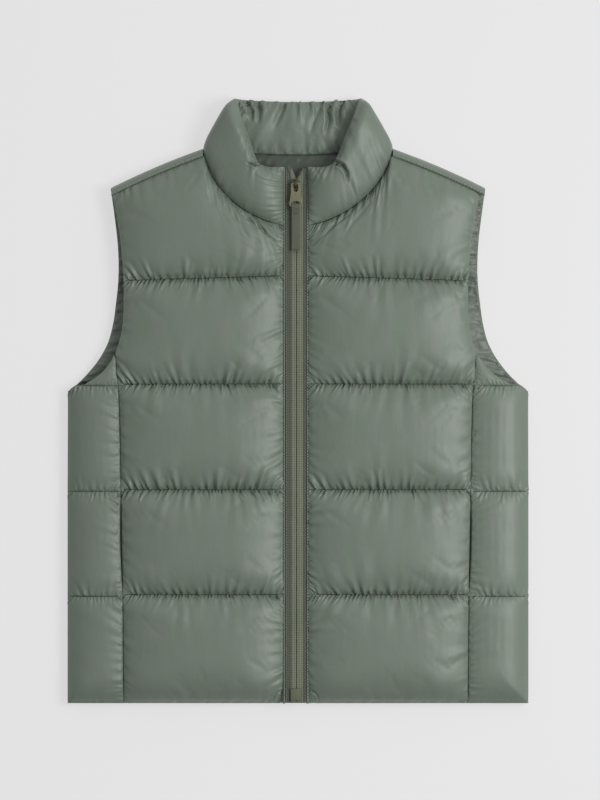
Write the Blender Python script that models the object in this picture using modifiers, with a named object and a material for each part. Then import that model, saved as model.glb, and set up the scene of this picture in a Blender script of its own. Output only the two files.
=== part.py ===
"""Padded puffer vest, zipped up and laid flat on its back.

Metres, +Z up from the surface it lies on, +Y from hem to collar, +X to the right as seen from
above. The origin is at the middle of the vest's outline, on the surface.
"""

import math
from collections import namedtuple

import bmesh
import bpy
import numpy as np

# Driving dimensions of the laid-out vest.
HALF_WIDTH = 0.265
HEM_Y = -0.348
COLLAR_TOP_Y = 0.348
FRONT_SHIFT = -0.0025  # the fronts lie this far off the back's centre line
SEAM_GAP = 0.0003

# Quilting lines, counted up from the hem.
HEM_CHAMBER = 0.1245
QUILT_PITCH = 0.121
QUILT_COUNT = 4
BACK_TOP_LINE_DROP = 0.0095  # the back's top line lies lower, since the shoulders wrap forward
SIDE_LINE_DROP = 0.002

# Shoulder and neck, as seen from above.
SHOULDER_TIP = (0.2155, 0.244)
NECK_POINT = (0.108, 0.290)
SHOULDER_BULGE = 0.002
SHOULDER_STRIP = 0.0095
FRONT_NECK_DEPTH = 0.0905
NECK_POWER = 1.8
BACK_NECK_Y = 0.2835

# Half widths across the zip, from its centre line out.
TAPE_EDGE = 0.0130
FACING_INNER = 0.0100
FACING_OUTER = 0.0137
FRONT_EDGE = 0.0140

# Pocket mouths in the side seams.
POCKET_LOW_Y = -0.218
POCKET_HIGH_Y = -0.107
POCKET_GAPE = 0.0022

# The armhole's edge on the back and on the front, from the armpit up.
ArmholeRow = namedtuple("ArmholeRow", "y back_x front_x")
ARMHOLE = [
    ArmholeRow(0.0115, 0.2645, 0.2620),
    ArmholeRow(0.0155, 0.2600, 0.2510),
    ArmholeRow(0.0224, 0.2515, 0.2380),
    ArmholeRow(0.0305, 0.2430, 0.2260),
    ArmholeRow(0.0408, 0.2340, 0.2160),
    ArmholeRow(0.0546, 0.2250, 0.2074),
    ArmholeRow(0.0720, 0.2175, 0.2016),
    ArmholeRow(0.0926, 0.2125, 0.1984),
    ArmholeRow(0.1156, 0.2092, 0.1977),
    ArmholeRow(0.1420, 0.2066, 0.1980),
    ArmholeRow(0.1730, 0.2074, 0.2004),
    ArmholeRow(0.2100, 0.2110, 0.2060),
    ArmholeRow(0.2440, 0.2155, 0.2120),
]

# The seam between front and side panel, from the hem up.
SeamRow = namedtuple("SeamRow", "y x")
SIDE_SEAM = [
    SeamRow(-0.3480, 0.1976),
    SeamRow(-0.2170, 0.1984),
    SeamRow(-0.1024, 0.2004),
    SeamRow(-0.0410, 0.2015),
    SeamRow(0.0180, 0.2038),
    SeamRow(0.0546, 0.2074),
]

# How high each padded layer lies: at a sewn line, and in the middle of a chamber.
Layer = namedtuple("Layer", "seam_low seam_high full_low full_high")
BACK = Layer(seam_low=0.0045, seam_high=0.0080, full_low=0.0, full_high=0.0150)
FRONT = Layer(seam_low=0.0225, seam_high=0.0262, full_low=0.0190, full_high=0.0405)
RIM = Layer(seam_low=0.0110, seam_high=0.0146, full_low=0.0190, full_high=0.0405)
LINING_THICKNESS = 0.0010
CLEAR_OF_BACK = 0.0019  # from the back panel's top to what lies on the lining
BAG_THICKNESS = 0.0017
SEAM_REACH_ACROSS = 0.045  # a chamber is full this far in from a panel's edge
SEAM_REACH_ALONG = 0.052  # and this far from a quilting line
RIM_REACH = 0.040
ROW_GAP = 0.006  # rows of a chamber keep this far from the rows that an edge needs

# The zip.
TAPE_LOW_Z = 0.0238
TAPE_THICKNESS = 0.0011
CHAIN_HALF = 0.0034
CHAIN_RISE = 0.0007
FACING_LOW_Z = 0.0252
FACING_HIGH_Z = 0.0272
TAPE_TOP_Y = 0.2665
SLIDER_SIZE = (0.0088, 0.0130, 0.0040)
SLIDER_Y = 0.2480
PULL_PIVOT_Y = 0.2495
PULL_PIVOT_Z = 0.0314
PULL_THICKNESS = 0.0016
PULL_LENGTH = 0.0300
PULL_TOP_HALF = 0.0056
PULL_BOTTOM_HALF = 0.0075
STRAP_END_Y = 0.1715
STRAP_WIDTH = 0.0090
BOX_SIZE = (0.0125, 0.0140, 0.0026)
BOX_Y = -0.3375

# The collar: a padded band from zip edge, round the neck, to zip edge.
CollarEdge = namedtuple("CollarEdge", "x y")
COLLAR_TOP_EDGE = [  # its upper edge on one front half, from the zip to the side fold
    CollarEdge(0.0140, 0.2680),
    CollarEdge(0.0300, 0.2675),
    CollarEdge(0.0430, 0.2700),
    CollarEdge(0.0490, 0.2850),
    CollarEdge(0.0560, 0.3045),
    CollarEdge(0.0635, 0.3230),
    CollarEdge(0.0715, 0.3465),
]
COLLAR_BACK_TOP_Y = 0.3435
COLLAR_STATIONS = 10  # sections from the zip to the side fold
COLLAR_SEAM_Z = 0.0250  # the middle of the band at the front neck seam
COLLAR_EDGE_Z = 0.0325
COLLAR_BACK_Z = 0.0095
COLLAR_SEAM_HALF = 0.0013
COLLAR_OUTER_LOFT = 0.0082
COLLAR_INNER_LOFT = 0.0062

SHELL_GREEN = (0.155, 0.185, 0.150)
LINING_GREEN = (0.140, 0.168, 0.136)
TAPE_OLIVE = (0.135, 0.145, 0.105)
METAL_OLIVE = (0.190, 0.190, 0.125)

SIDES = ((-1, "left"), (1, "right"))


def clear_scene():
    for obj in list(bpy.data.objects):
        bpy.data.objects.remove(obj)


def new_collection(name):
    collection = bpy.data.collections.new(name)
    bpy.context.scene.collection.children.link(collection)
    return collection


def make_material(name, color, roughness, metallic=0.0):
    material = bpy.data.materials.new(name)
    material.use_nodes = True
    shader = material.node_tree.nodes["Principled BSDF"]
    shader.inputs["Base Color"].default_value = (*color, 1.0)
    shader.inputs["Roughness"].default_value = roughness
    shader.inputs["Metallic"].default_value = metallic
    return material


def add_object(collection, name, data, material):
    obj = bpy.data.objects.new(name, data)
    collection.objects.link(obj)
    data.materials.append(material)
    return obj


def wall(collection, name, low, high, material):
    """A closed solid between two sheets of points, each an array of rows by columns by xyz."""
    mesh = bpy.data.meshes.new(name)
    work = bmesh.new()
    rows, columns = high.shape[:2]
    sheets = [
        [[work.verts.new(point) for point in row] for row in sheet] for sheet in (low, high)
    ]
    for r in range(rows - 1):
        for c in range(columns - 1):
            for sheet in sheets:
                work.faces.new(
                    (sheet[r][c], sheet[r][c + 1], sheet[r + 1][c + 1], sheet[r + 1][c])
                )
    rim = (
        [(0, c) for c in range(columns)]
        + [(r, columns - 1) for r in range(1, rows)]
        + [(rows - 1, c) for c in range(columns - 2, -1, -1)]
        + [(r, 0) for r in range(rows - 2, 0, -1)]
    )
    for (r0, c0), (r1, c1) in zip(rim, rim[1:] + rim[:1]):
        bottom, top = sheets
        work.faces.new((bottom[r0][c0], bottom[r1][c1], top[r1][c1], top[r0][c0]))
    bmesh.ops.recalc_face_normals(work, faces=work.faces)
    work.to_mesh(mesh)
    work.free()
    mesh.shade_smooth()
    mesh.set_sharp_from_angle(angle=math.radians(50))
    return add_object(collection, name, mesh, material)


# ---- outline -------------------------------------------------------------------------------


def quilt_lines(drop=0.0, top_drop=0.0):
    """The heights of the quilting lines, from the hem up."""
    lines = [HEM_Y + HEM_CHAMBER + i * QUILT_PITCH - drop for i in range(QUILT_COUNT)]
    lines[-1] -= top_drop
    return lines


def shoulder_x(y, drop=0.0):
    """The half width at height y on the shoulder line, or on its seam drop below it."""
    share = np.linspace(0, 1, 9)
    across = SHOULDER_TIP[0] + (NECK_POINT[0] - SHOULDER_TIP[0]) * share
    up = SHOULDER_TIP[1] + (NECK_POINT[1] - SHOULDER_TIP[1]) * share
    up = up + 4 * SHOULDER_BULGE * share * (1 - share) - drop
    return np.interp(y, up, across)


def neck_fall(y):
    """0 at the neck points, 1 at the lowest point of the front neck seam."""
    return np.clip((NECK_POINT[1] - y) / FRONT_NECK_DEPTH, 0, 1)


def neck_x(y):
    """The half width of the front neck seam at height y."""
    return NECK_POINT[0] * (1 - neck_fall(y) ** NECK_POWER) ** (1 / NECK_POWER)


def neck_stations(inset=0.0):
    """The front neck seam's points from the zip to the neck point, on its +X half."""
    turn = np.linspace(0, math.pi / 2, 60)
    seam_x = (NECK_POINT[0] - inset) * np.sin(turn) ** (2 / NECK_POWER)
    seam_y = NECK_POINT[1] - (FRONT_NECK_DEPTH - inset) * np.cos(turn) ** (2 / NECK_POWER)
    seam = np.stack([seam_x, seam_y], axis=1)
    return spread_evenly(seam[seam_x > FRONT_EDGE], COLLAR_STATIONS)


def spread_evenly(points, count):
    """count points evenly spaced along a line of points."""
    steps = np.linalg.norm(np.diff(points, axis=0), axis=1)
    along = np.concatenate([[0], np.cumsum(steps)])
    at = np.linspace(0, along[-1], count)
    return np.stack([np.interp(at, along, points[:, k]) for k in range(points.shape[1])], axis=1)


def armhole_x(y, column):
    return np.interp(y, [row.y for row in ARMHOLE], [getattr(row, column) for row in ARMHOLE])


def side_seam_x(y):
    return np.interp(y, [row.y for row in SIDE_SEAM], [row.x for row in SIDE_SEAM])


def back_outer_x(y):
    y = np.asarray(y, float)
    body = np.where(y < ARMHOLE[0].y, HALF_WIDTH, armhole_x(y, "back_x"))
    return np.where(y > SHOULDER_TIP[1], shoulder_x(y), body)


def front_edges(y, side):
    """A front panel's inner and outer edge, as x on its own side of the shifted zip line."""
    seam = np.where(y > NECK_POINT[1] - FRONT_NECK_DEPTH, neck_x(y), 0)
    inner = np.maximum(FRONT_EDGE, seam - side * FRONT_SHIFT * (1 - neck_fall(y)))
    outer = np.where(y < SIDE_SEAM[-1].y, side_seam_x(y), armhole_x(y, "front_x"))
    shoulder = shoulder_x(y, SHOULDER_STRIP + 2 * SEAM_GAP) - side * FRONT_SHIFT
    outer = np.where(y > SHOULDER_TIP[1] - SHOULDER_STRIP, np.minimum(outer, shoulder), outer)
    return inner, np.maximum(outer, inner + 0.0015)


def pocket_gape(y):
    """How far the side seam stands open at height y."""
    share = np.clip((y - POCKET_LOW_Y) / (POCKET_HIGH_Y - POCKET_LOW_Y), 0, 1)
    return POCKET_GAPE * np.sin(np.pi * share)


def row_heights(low, high, lines, extra=()):
    """Heights of the sections: close together beside each quilting line, wide apart between."""
    shares = (0.0, 0.06, 0.22, 0.50, 0.78, 0.94)
    edges = [low, *[line for line in lines if low < line < high - 0.02], high]
    heights = [a + (b - a) * share for a, b in zip(edges, edges[1:]) for share in shares]
    fixed = [y for y in extra if low < y < high]
    kept = [y for y in heights if min([abs(y - other) for other in fixed], default=1) > ROW_GAP]
    return np.array(sorted([*kept, *fixed, high]))


# ---- how high the padding stands -----------------------------------------------------------


def swell(distance, reach):
    """0 on a sewn line, rising round to 1 at reach from it."""
    near = 1 - np.clip(distance / reach, 0, 1)
    return (1 - near**2.2) ** 0.8


def line_distance(y, lines):
    return np.min([np.abs(y - line) for line in lines], axis=0)


def back_swell(x, y):
    lines = [HEM_Y, *quilt_lines(top_drop=BACK_TOP_LINE_DROP), BACK_NECK_Y]
    across = swell(np.clip(back_outer_x(y) - np.abs(x), 0, 1), SEAM_REACH_ACROSS)
    return across * swell(line_distance(np.minimum(y, BACK_NECK_Y), lines), SEAM_REACH_ALONG)


def back_high(x, y):
    return BACK.seam_high + (BACK.full_high - BACK.seam_high) * back_swell(x, y)


def back_low(x, y):
    lifted = 1 - np.clip(back_swell(x, y) / 0.45, 0, 1)
    return BACK.seam_low * lifted**1.5


def rim_share(x, y):
    """1 on the hem and the side edges, where the layers close, falling to 0 inside."""
    distance = np.minimum(y - HEM_Y, HALF_WIDTH - np.abs(x))
    return 1 - swell(np.clip(distance, 0, 1), RIM_REACH)


def front_levels(x, y, full):
    """The lowest and highest points of a front panel, full from 0 at its seams to 1."""
    share = rim_share(x, y)
    seam_low = FRONT.seam_low + (RIM.seam_low - FRONT.seam_low) * share
    seam_high = FRONT.seam_high + (RIM.seam_high - FRONT.seam_high) * share
    low = seam_low + (FRONT.full_low - seam_low) * full
    low = np.maximum(low, back_high(x, y) + CLEAR_OF_BACK)
    high = seam_high + (FRONT.full_high - seam_high) * full
    return low, np.maximum(high, low + 0.0030)


# ---- cloth ---------------------------------------------------------------------------------


def make_back(collection, shell, lining):
    lines = quilt_lines(top_drop=BACK_TOP_LINE_DROP)
    heights = row_heights(HEM_Y, SHOULDER_TIP[1], lines, [row.y for row in ARMHOLE[::2]])
    edges = np.append(heights, np.linspace(SHOULDER_TIP[1], NECK_POINT[1], 5)[1:])
    sag = np.clip((edges - SHOULDER_TIP[1]) / (NECK_POINT[1] - SHOULDER_TIP[1]), 0, 1)
    sag = sag * (NECK_POINT[1] - BACK_NECK_Y)
    edges = edges - np.where(edges > SHOULDER_TIP[1], 3 * SEAM_GAP, 0)
    half = np.array([0, 0.38, 0.70, 0.88, 0.96, 1.0])
    across = np.concatenate([-half[:0:-1], half])
    x = across[None, :] * back_outer_x(edges)[:, None]
    y = edges[:, None] - sag[:, None] * (1 - across[None, :] ** 2)
    low = np.stack([x, y, back_low(x, y)], axis=-1)
    high = np.stack([x, y, back_high(x, y)], axis=-1)
    wall(collection, "back_panel", low, high, shell)
    lift = np.array([0, 0, SEAM_GAP])
    cloth = np.array([0, 0, LINING_THICKNESS])
    wall(collection, "back_lining", high + lift, high + lift + cloth, lining)


def make_fronts(collection, shell):
    lines = quilt_lines()
    seam = neck_stations()
    top = seam[-2, 1]
    extra = [*[row.y for row in ARMHOLE[5:-1]], *seam[:-2, 1]]
    heights = row_heights(HEM_Y, top, lines, extra)
    share = np.array([0, 0.05, 0.20, 0.50, 0.80, 0.95, 1.0])
    for side, word in SIDES:
        inner, outer = front_edges(heights, side)
        across = inner[:, None] + (outer - inner)[:, None] * share[None, :]
        y = np.broadcast_to(heights[:, None], across.shape)
        edge = np.minimum(across - inner[:, None], outer[:, None] - across)
        full = swell(edge, SEAM_REACH_ACROSS)
        full = full * swell(line_distance(y, [HEM_Y, *lines, NECK_POINT[1]]), SEAM_REACH_ALONG)
        x = side * across + FRONT_SHIFT
        low, high = front_levels(x, y, full)
        sheets = [np.stack([x, y, z], axis=-1) for z in (low, high)]
        wall(collection, f"front_{word}", *sheets, shell)


def make_side_panels(collection, shell):
    lines = quilt_lines(drop=SIDE_LINE_DROP)[:3]
    top = SIDE_SEAM[-1].y - 0.003
    heights = row_heights(HEM_Y, top, lines, [row.y for row in ARMHOLE[::2]])
    share = np.array([0, 0.10, 0.35, 0.70, 0.93, 1.0])
    for side, word in SIDES:
        shift = side * FRONT_SHIFT
        inner = side_seam_x(heights) + SEAM_GAP + pocket_gape(heights) + shift
        up = np.clip((heights - ARMHOLE[0].y) / 0.04, 0, 1)
        armhole = armhole_x(heights, "front_x") + shift * up
        outer = np.where(heights < ARMHOLE[0].y, HALF_WIDTH, armhole)
        outer = np.maximum(outer, inner + 0.0015)
        across = inner[:, None] + (outer - inner)[:, None] * share[None, :]
        y = np.broadcast_to(heights[:, None], across.shape)
        edge = np.minimum(across - inner[:, None], outer[:, None] - across)
        full = swell(edge, 0.6 * SEAM_REACH_ACROSS)
        full = full * swell(line_distance(y, [HEM_Y, *lines, top]), SEAM_REACH_ALONG)
        x = side * across
        low, high = front_levels(x, y, full)
        sheets = [np.stack([x, y, z], axis=-1) for z in (low, high)]
        wall(collection, f"side_{word}", *sheets, shell)


def make_shoulder_strips(collection, shell):
    """The narrow strips that fold over the shoulders, between front seam and shoulder fold."""
    along = np.linspace(0.012, 0.965, 8)
    x = SHOULDER_TIP[0] + (NECK_POINT[0] - SHOULDER_TIP[0]) * along
    fold_y = SHOULDER_TIP[1] + (NECK_POINT[1] - SHOULDER_TIP[1]) * along
    fold_y = fold_y + 4 * SHOULDER_BULGE * along * (1 - along)
    across = np.array([0.0, 0.35, 0.75, 1.0])
    high_z = np.array([0.0262, 0.0262, 0.0215, 0.0140])
    low_z = np.array([0.0205, 0.0190, 0.0150, 0.0104])
    y = (fold_y - SHOULDER_STRIP + SEAM_GAP)[:, None] + across * (SHOULDER_STRIP - SEAM_GAP)
    for side, word in SIDES:
        wide = np.broadcast_to(side * x[:, None], y.shape)
        low = np.maximum(low_z, back_high(wide, y) + CLEAR_OF_BACK)
        high = np.maximum(high_z, low + 0.0028)
        sheets = [np.stack([wide, y, z], axis=-1) for z in (low, high)]
        wall(collection, f"shoulder_{word}", *sheets, shell)


def make_pocket_bags(collection, lining):
    """Each pocket's bag: its two layers lie pressed together between front and lining."""
    y = np.linspace(POCKET_LOW_Y - 0.055, POCKET_HIGH_Y + 0.012, 3)
    depth = np.array([0.145, 0.195, 0.232])
    low_z = BACK.full_high + CLEAR_OF_BACK - SEAM_GAP
    for side, word in SIDES:
        x, rows = np.meshgrid(side * depth, y)
        sheets = [
            np.stack([x, rows, np.full(x.shape, z)], axis=-1)
            for z in (low_z, low_z + BAG_THICKNESS)
        ]
        wall(collection, f"pocket_bag_{word}", *sheets, lining)


# ---- collar --------------------------------------------------------------------------------


def round_down(distance, reach, high, low):
    """Height that runs level at high and turns down round to low as distance falls to 0."""
    near = 1 - np.clip(distance / reach, 0, 1)
    return low + (high - low) * np.sqrt(np.clip(1 - near**2, 0, 1))


def collar_edges():
    """The band's lower and upper edge on the +X half: front from zip to fold, then back."""
    lower = neck_stations(inset=2 * SEAM_GAP)
    upper = spread_evenly(np.array(COLLAR_TOP_EDGE), COLLAR_STATIONS)
    middle_z = 0.5 * (COLLAR_SEAM_Z + COLLAR_BACK_Z)
    to_fold = np.linalg.norm(lower - lower[-1], axis=1)
    lower_z = round_down(to_fold, 0.020, COLLAR_SEAM_Z, middle_z)
    to_fold = np.linalg.norm(upper - upper[-1], axis=1)
    level = np.minimum(COLLAR_EDGE_Z, 0.0272 + 0.19 * (upper[:, 0] - FRONT_EDGE))
    upper_z = round_down(to_fold, 0.030, level, middle_z)
    back = np.linspace(1, 0, COLLAR_STATIONS)[1:]
    sag = (NECK_POINT[1] - BACK_NECK_Y) * back**2
    back_lower = np.stack([lower[-1, 0] * back, BACK_NECK_Y + sag], axis=1)
    rise = (COLLAR_TOP_EDGE[-1].y - COLLAR_BACK_TOP_Y) * back**2
    back_upper = np.stack([COLLAR_TOP_EDGE[-1].x * back, COLLAR_BACK_TOP_Y + rise], axis=1)
    edges = []
    for front, front_z, behind in ((lower, lower_z, back_lower), (upper, upper_z, back_upper)):
        to_fold = np.linalg.norm(behind - front[-1], axis=1)
        behind_z = round_down(to_fold, 0.020, COLLAR_BACK_Z, middle_z)
        edges.append(
            np.concatenate([np.column_stack([front, front_z]), np.column_stack([behind, behind_z])])
        )
    return edges


def collar_band():
    """The band's middle sheet and its outward normals, right round from zip to zip."""
    lower, upper = collar_edges()
    share = np.array([0.0, 0.10, 0.30, 0.5, 0.70, 0.90, 1.0])
    half = lower[:, None] + (upper - lower)[:, None] * share[None, :, None]
    sheet = np.concatenate([half * np.array([-1, 1, 1]), half[-2::-1]])
    on_front = np.arange(len(half)) < COLLAR_STATIONS
    shift = np.where(on_front, FRONT_SHIFT * neck_fall(lower[:, 1]), 0)
    sheet[..., 0] += np.concatenate([shift, shift[-2::-1]])[:, None]
    normals = np.cross(np.gradient(sheet, axis=1), np.gradient(sheet, axis=0))
    normals[:, 0, 1] = 0  # at the neck seam the wall stands square to the panels
    normals /= np.linalg.norm(normals, axis=2, keepdims=True)
    return sheet, normals, share


def make_collar(collection, shell):
    """The padded collar as its two cut pieces, one each side of the band's middle."""
    sheet, normals, share = collar_band()
    puff = swell(np.minimum(share, 1 - share), 0.5)
    around = np.linspace(-1, 1, len(sheet))
    from_zip = swell(1 - np.abs(around), 0.20)
    at_fold = 1 - 0.45 * np.exp(-(((np.abs(around) - 0.5) / 0.07) ** 2))
    gap = 0.5 * SEAM_GAP
    for name, way, loft in (
        ("collar_outer", 1, COLLAR_OUTER_LOFT),
        ("collar_inner", -1, COLLAR_INNER_LOFT),
    ):
        thick = COLLAR_SEAM_HALF + loft * (from_zip * at_fold)[:, None] * puff[None, :]
        near = sheet + way * gap * normals
        far = sheet + way * (gap + thick)[..., None] * normals
        for layer in (near, far):
            layer[..., 2] = np.maximum(layer[..., 2], 0.0)
        wall(collection, name, near, far, shell)


# ---- zip -----------------------------------------------------------------------------------


def strip(collection, name, section, low_y, high_y, material):
    """A straight solid along Y whose section is a list of (x, z) corners."""
    mesh = bpy.data.meshes.new(name)
    work = bmesh.new()
    start = work.faces.new([work.verts.new((x, low_y, z)) for x, z in section])
    made = bmesh.ops.extrude_face_region(work, geom=[start])
    ends = [item for item in made["geom"] if isinstance(item, bmesh.types.BMVert)]
    bmesh.ops.translate(work, verts=ends, vec=(0, high_y - low_y, 0))
    bmesh.ops.recalc_face_normals(work, faces=work.faces)
    work.to_mesh(mesh)
    work.free()
    return add_object(collection, name, mesh, material)


def make_zip_tapes(collection, tape, shell):
    high = TAPE_LOW_Z + TAPE_THICKNESS
    for side, word in SIDES:
        tape_corners = [
            (0.00015, TAPE_LOW_Z),
            (TAPE_EDGE, TAPE_LOW_Z),
            (TAPE_EDGE, high),
            (CHAIN_HALF + 0.0008, high),
            (CHAIN_HALF, high + CHAIN_RISE),
            (0.0010, high + CHAIN_RISE),
            (0.00015, high),
        ]
        section = [(side * x + FRONT_SHIFT, z) for x, z in tape_corners]
        strip(collection, f"zip_tape_{word}", section, HEM_Y + 0.002, TAPE_TOP_Y, tape)
        facing_corners = [
            (FACING_INNER, FACING_LOW_Z),
            (FACING_OUTER, FACING_LOW_Z),
            (FACING_OUTER, FACING_HIGH_Z - 0.0005),
            (FACING_OUTER - 0.0012, FACING_HIGH_Z),
            (FACING_INNER + 0.0006, FACING_HIGH_Z - 0.0002),
        ]
        section = [(side * x + FRONT_SHIFT, z) for x, z in facing_corners]
        strip(collection, f"zip_facing_{word}", section, HEM_Y, TAPE_TOP_Y + 0.0010, shell)


def flat_outline(name, outlines, thickness):
    """A flat plate in XY from closed outlines, the later ones holes, as a mesh."""
    curve = bpy.data.curves.new(name, "CURVE")
    curve.dimensions = "2D"
    curve.fill_mode = "BOTH"
    curve.extrude = 0.5 * thickness
    for outline in outlines:
        spline = curve.splines.new("POLY")
        spline.points.add(len(outline) - 1)
        for point, (x, y) in zip(spline.points, outline):
            point.co = (x, y, 0, 1)
        spline.use_cyclic_u = True
    guide = bpy.data.objects.new(name, curve)
    bpy.context.scene.collection.objects.link(guide)
    graph = bpy.context.evaluated_depsgraph_get()
    mesh = bpy.data.meshes.new_from_object(guide.evaluated_get(graph))
    bpy.data.objects.remove(guide)
    work = bmesh.new()
    work.from_mesh(mesh)
    bmesh.ops.remove_doubles(work, verts=work.verts, dist=0.00001)
    bmesh.ops.recalc_face_normals(work, faces=work.faces)
    work.to_mesh(mesh)
    work.free()
    return mesh


def arc(center, radii, start, stop, count):
    angles = np.radians(np.linspace(start, stop, count))
    return [
        (center[0] + radii[0] * math.cos(angle), center[1] + radii[1] * math.sin(angle))
        for angle in angles
    ]


def unite(target, tool):
    """Joins tool's shape into target and removes tool."""
    joint = target.modifiers.new("join", "BOOLEAN")
    joint.operation = "UNION"
    joint.object = tool
    graph = bpy.context.evaluated_depsgraph_get()
    joined = bpy.data.meshes.new_from_object(target.evaluated_get(graph))
    target.modifiers.clear()
    target.data = joined
    bpy.data.objects.remove(tool)


def make_slider(collection, metal):
    """The slider's body, waisted towards the hem, and the arched crown that holds the pull."""
    half, long, tall = 0.5 * SLIDER_SIZE[0], 0.5 * SLIDER_SIZE[1], SLIDER_SIZE[2]
    outline = [
        *arc((0, long - half), (half, half), 0, 180, 9),
        *arc((0, -long + 0.7 * half), (0.72 * half, 0.7 * half), 180, 360, 7),
    ]
    body = add_object(collection, "zip_slider", flat_outline("zip_slider", [outline], tall), metal)
    low = TAPE_LOW_Z + TAPE_THICKNESS + CHAIN_RISE + SEAM_GAP
    body.location = (FRONT_SHIFT, SLIDER_Y, low + 0.5 * tall)
    top = low + tall
    reach, rise, bar = 0.0050, 0.0056, 0.0011
    outer = [(-reach, -0.0010), *arc((0, 0), (reach, rise), 180, 0, 11), (reach, -0.0010)]
    inside = [
        (reach - 1.5 * bar, -0.0010),
        *arc((0, 0), (reach - 1.5 * bar, rise - 1.2 * bar), 0, 180, 11),
        (-reach + 1.5 * bar, -0.0010),
    ]
    crown = add_object(
        collection, "crown", flat_outline("crown", [outer + inside], 2.4 * bar), metal
    )
    crown.rotation_euler = (math.pi / 2, 0, math.pi / 2)
    crown.location = (FRONT_SHIFT, SLIDER_Y, top)
    bpy.context.view_layer.update()
    unite(body, crown)


def make_pull(collection, metal, tape):
    """The pull: a metal tab that hangs on the crown, with a strap looped through its eye."""
    pivot = bpy.data.objects.new("pull_pivot", None)
    collection.objects.link(pivot)
    pivot.location = (FRONT_SHIFT, PULL_PIVOT_Y, PULL_PIVOT_Z)
    bar = 0.0010
    bottom = -PULL_LENGTH + bar
    eye_y = bottom + 0.0052
    tab = [
        *arc((0, bar - 0.0025), (PULL_TOP_HALF, 0.0025), 0, 180, 9),
        (-PULL_TOP_HALF, -0.0110),
        *arc((0, bottom + 0.0045), (PULL_BOTTOM_HALF, 0.0045), 180, 360, 13),
        (PULL_TOP_HALF, -0.0110),
    ]
    slot = [
        *arc((0, -0.0028), (0.0027, 0.0018), 0, 180, 7),
        *arc((0, -0.0080), (0.0027, 0.0022), 180, 360, 7),
    ]
    eye = arc((0, eye_y), (0.0058, 0.0030), 0, 337.5, 16)
    tab_mesh = flat_outline("pull_tab", [tab, slot, eye], PULL_THICKNESS)
    pull = add_object(collection, "pull_tab", tab_mesh, metal)
    pull.parent = pivot
    rim_y = bottom + 0.0017
    tail = STRAP_END_Y - PULL_PIVOT_Y
    sink = -0.0020  # the tail lies this far below the tab's middle
    loop = [
        (tail, sink - 0.0012),
        (rim_y - 0.0045, sink - 0.0012),
        *arc((rim_y, 0), (0.0037, 0.0034), 250, 470, 9),
        (rim_y - 0.0055, sink + 0.0018),
        (tail, sink + 0.0012),
    ]
    hole = arc((rim_y, 0), (0.0026, 0.0022), 0, 330, 12)
    strap_mesh = flat_outline("pull_strap", [loop, hole], STRAP_WIDTH)
    strap = add_object(collection, "pull_strap", strap_mesh, tape)
    strap.parent = pivot
    strap.rotation_euler = (math.pi / 2, 0, math.pi / 2)


def make_zip_box(collection, metal):
    """The box and pin that start the zip at the hem."""
    low = TAPE_LOW_Z + TAPE_THICKNESS + CHAIN_RISE + SEAM_GAP
    half, long, tall = 0.5 * BOX_SIZE[0], 0.5 * BOX_SIZE[1], BOX_SIZE[2]
    outline = [(-half, -long), (half, -long), (half, long), (-half, long)]
    box = add_object(collection, "zip_box", flat_outline("zip_box", [outline], tall), metal)
    box.location = (FRONT_SHIFT, BOX_Y, low + 0.5 * tall)
    edges = box.modifiers.new("edges", "BEVEL")
    edges.width = 0.0006
    edges.segments = 1


def main():
    clear_scene()
    collection = new_collection("puffer_vest")
    shell = make_material("shell", SHELL_GREEN, 0.42)
    lining = make_material("lining", LINING_GREEN, 0.50)
    tape = make_material("zip_tape", TAPE_OLIVE, 0.75)
    metal = make_material("zip_metal", METAL_OLIVE, 0.38, metallic=0.6)
    make_back(collection, shell, lining)
    make_fronts(collection, shell)
    make_side_panels(collection, shell)
    make_shoulder_strips(collection, shell)
    make_pocket_bags(collection, lining)
    make_collar(collection, shell)
    make_zip_tapes(collection, tape, shell)
    make_slider(collection, metal)
    make_pull(collection, metal, tape)
    make_zip_box(collection, metal)


main()
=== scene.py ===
# Padded puffer vest, laid flat: the looks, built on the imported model.
import math

import bmesh
import bpy
import numpy as np
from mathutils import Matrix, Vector
from mathutils.bvhtree import BVHTree


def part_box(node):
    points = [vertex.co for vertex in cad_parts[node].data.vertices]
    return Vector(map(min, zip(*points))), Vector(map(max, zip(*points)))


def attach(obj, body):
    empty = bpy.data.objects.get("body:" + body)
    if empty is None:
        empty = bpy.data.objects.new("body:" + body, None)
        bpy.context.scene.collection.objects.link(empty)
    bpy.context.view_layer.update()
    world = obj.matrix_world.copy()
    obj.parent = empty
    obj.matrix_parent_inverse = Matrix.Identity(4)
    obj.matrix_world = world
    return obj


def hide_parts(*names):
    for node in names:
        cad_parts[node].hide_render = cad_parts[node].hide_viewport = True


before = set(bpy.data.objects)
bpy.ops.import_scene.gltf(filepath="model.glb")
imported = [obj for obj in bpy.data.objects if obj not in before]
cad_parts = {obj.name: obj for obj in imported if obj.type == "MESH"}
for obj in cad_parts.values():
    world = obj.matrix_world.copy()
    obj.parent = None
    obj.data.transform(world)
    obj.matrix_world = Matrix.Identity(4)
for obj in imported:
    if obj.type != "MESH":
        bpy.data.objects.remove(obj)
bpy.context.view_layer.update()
scene = bpy.context.scene
mm = 0.001
sides = ((-1, "left"), (1, "right"))

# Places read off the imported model.
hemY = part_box("back_panel")[0][1]
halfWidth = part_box("back_panel")[1][0]
tapeLow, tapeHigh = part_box("zip_tape_left")[0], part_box("zip_tape_right")[1]
zipX = 0.5 * (tapeLow[0] + tapeHigh[0])
tapeZ = tapeHigh[2]
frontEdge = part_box("front_right")[0][0] - zipX
print("frame loaded, zip line at", round(zipX, 4))

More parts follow.
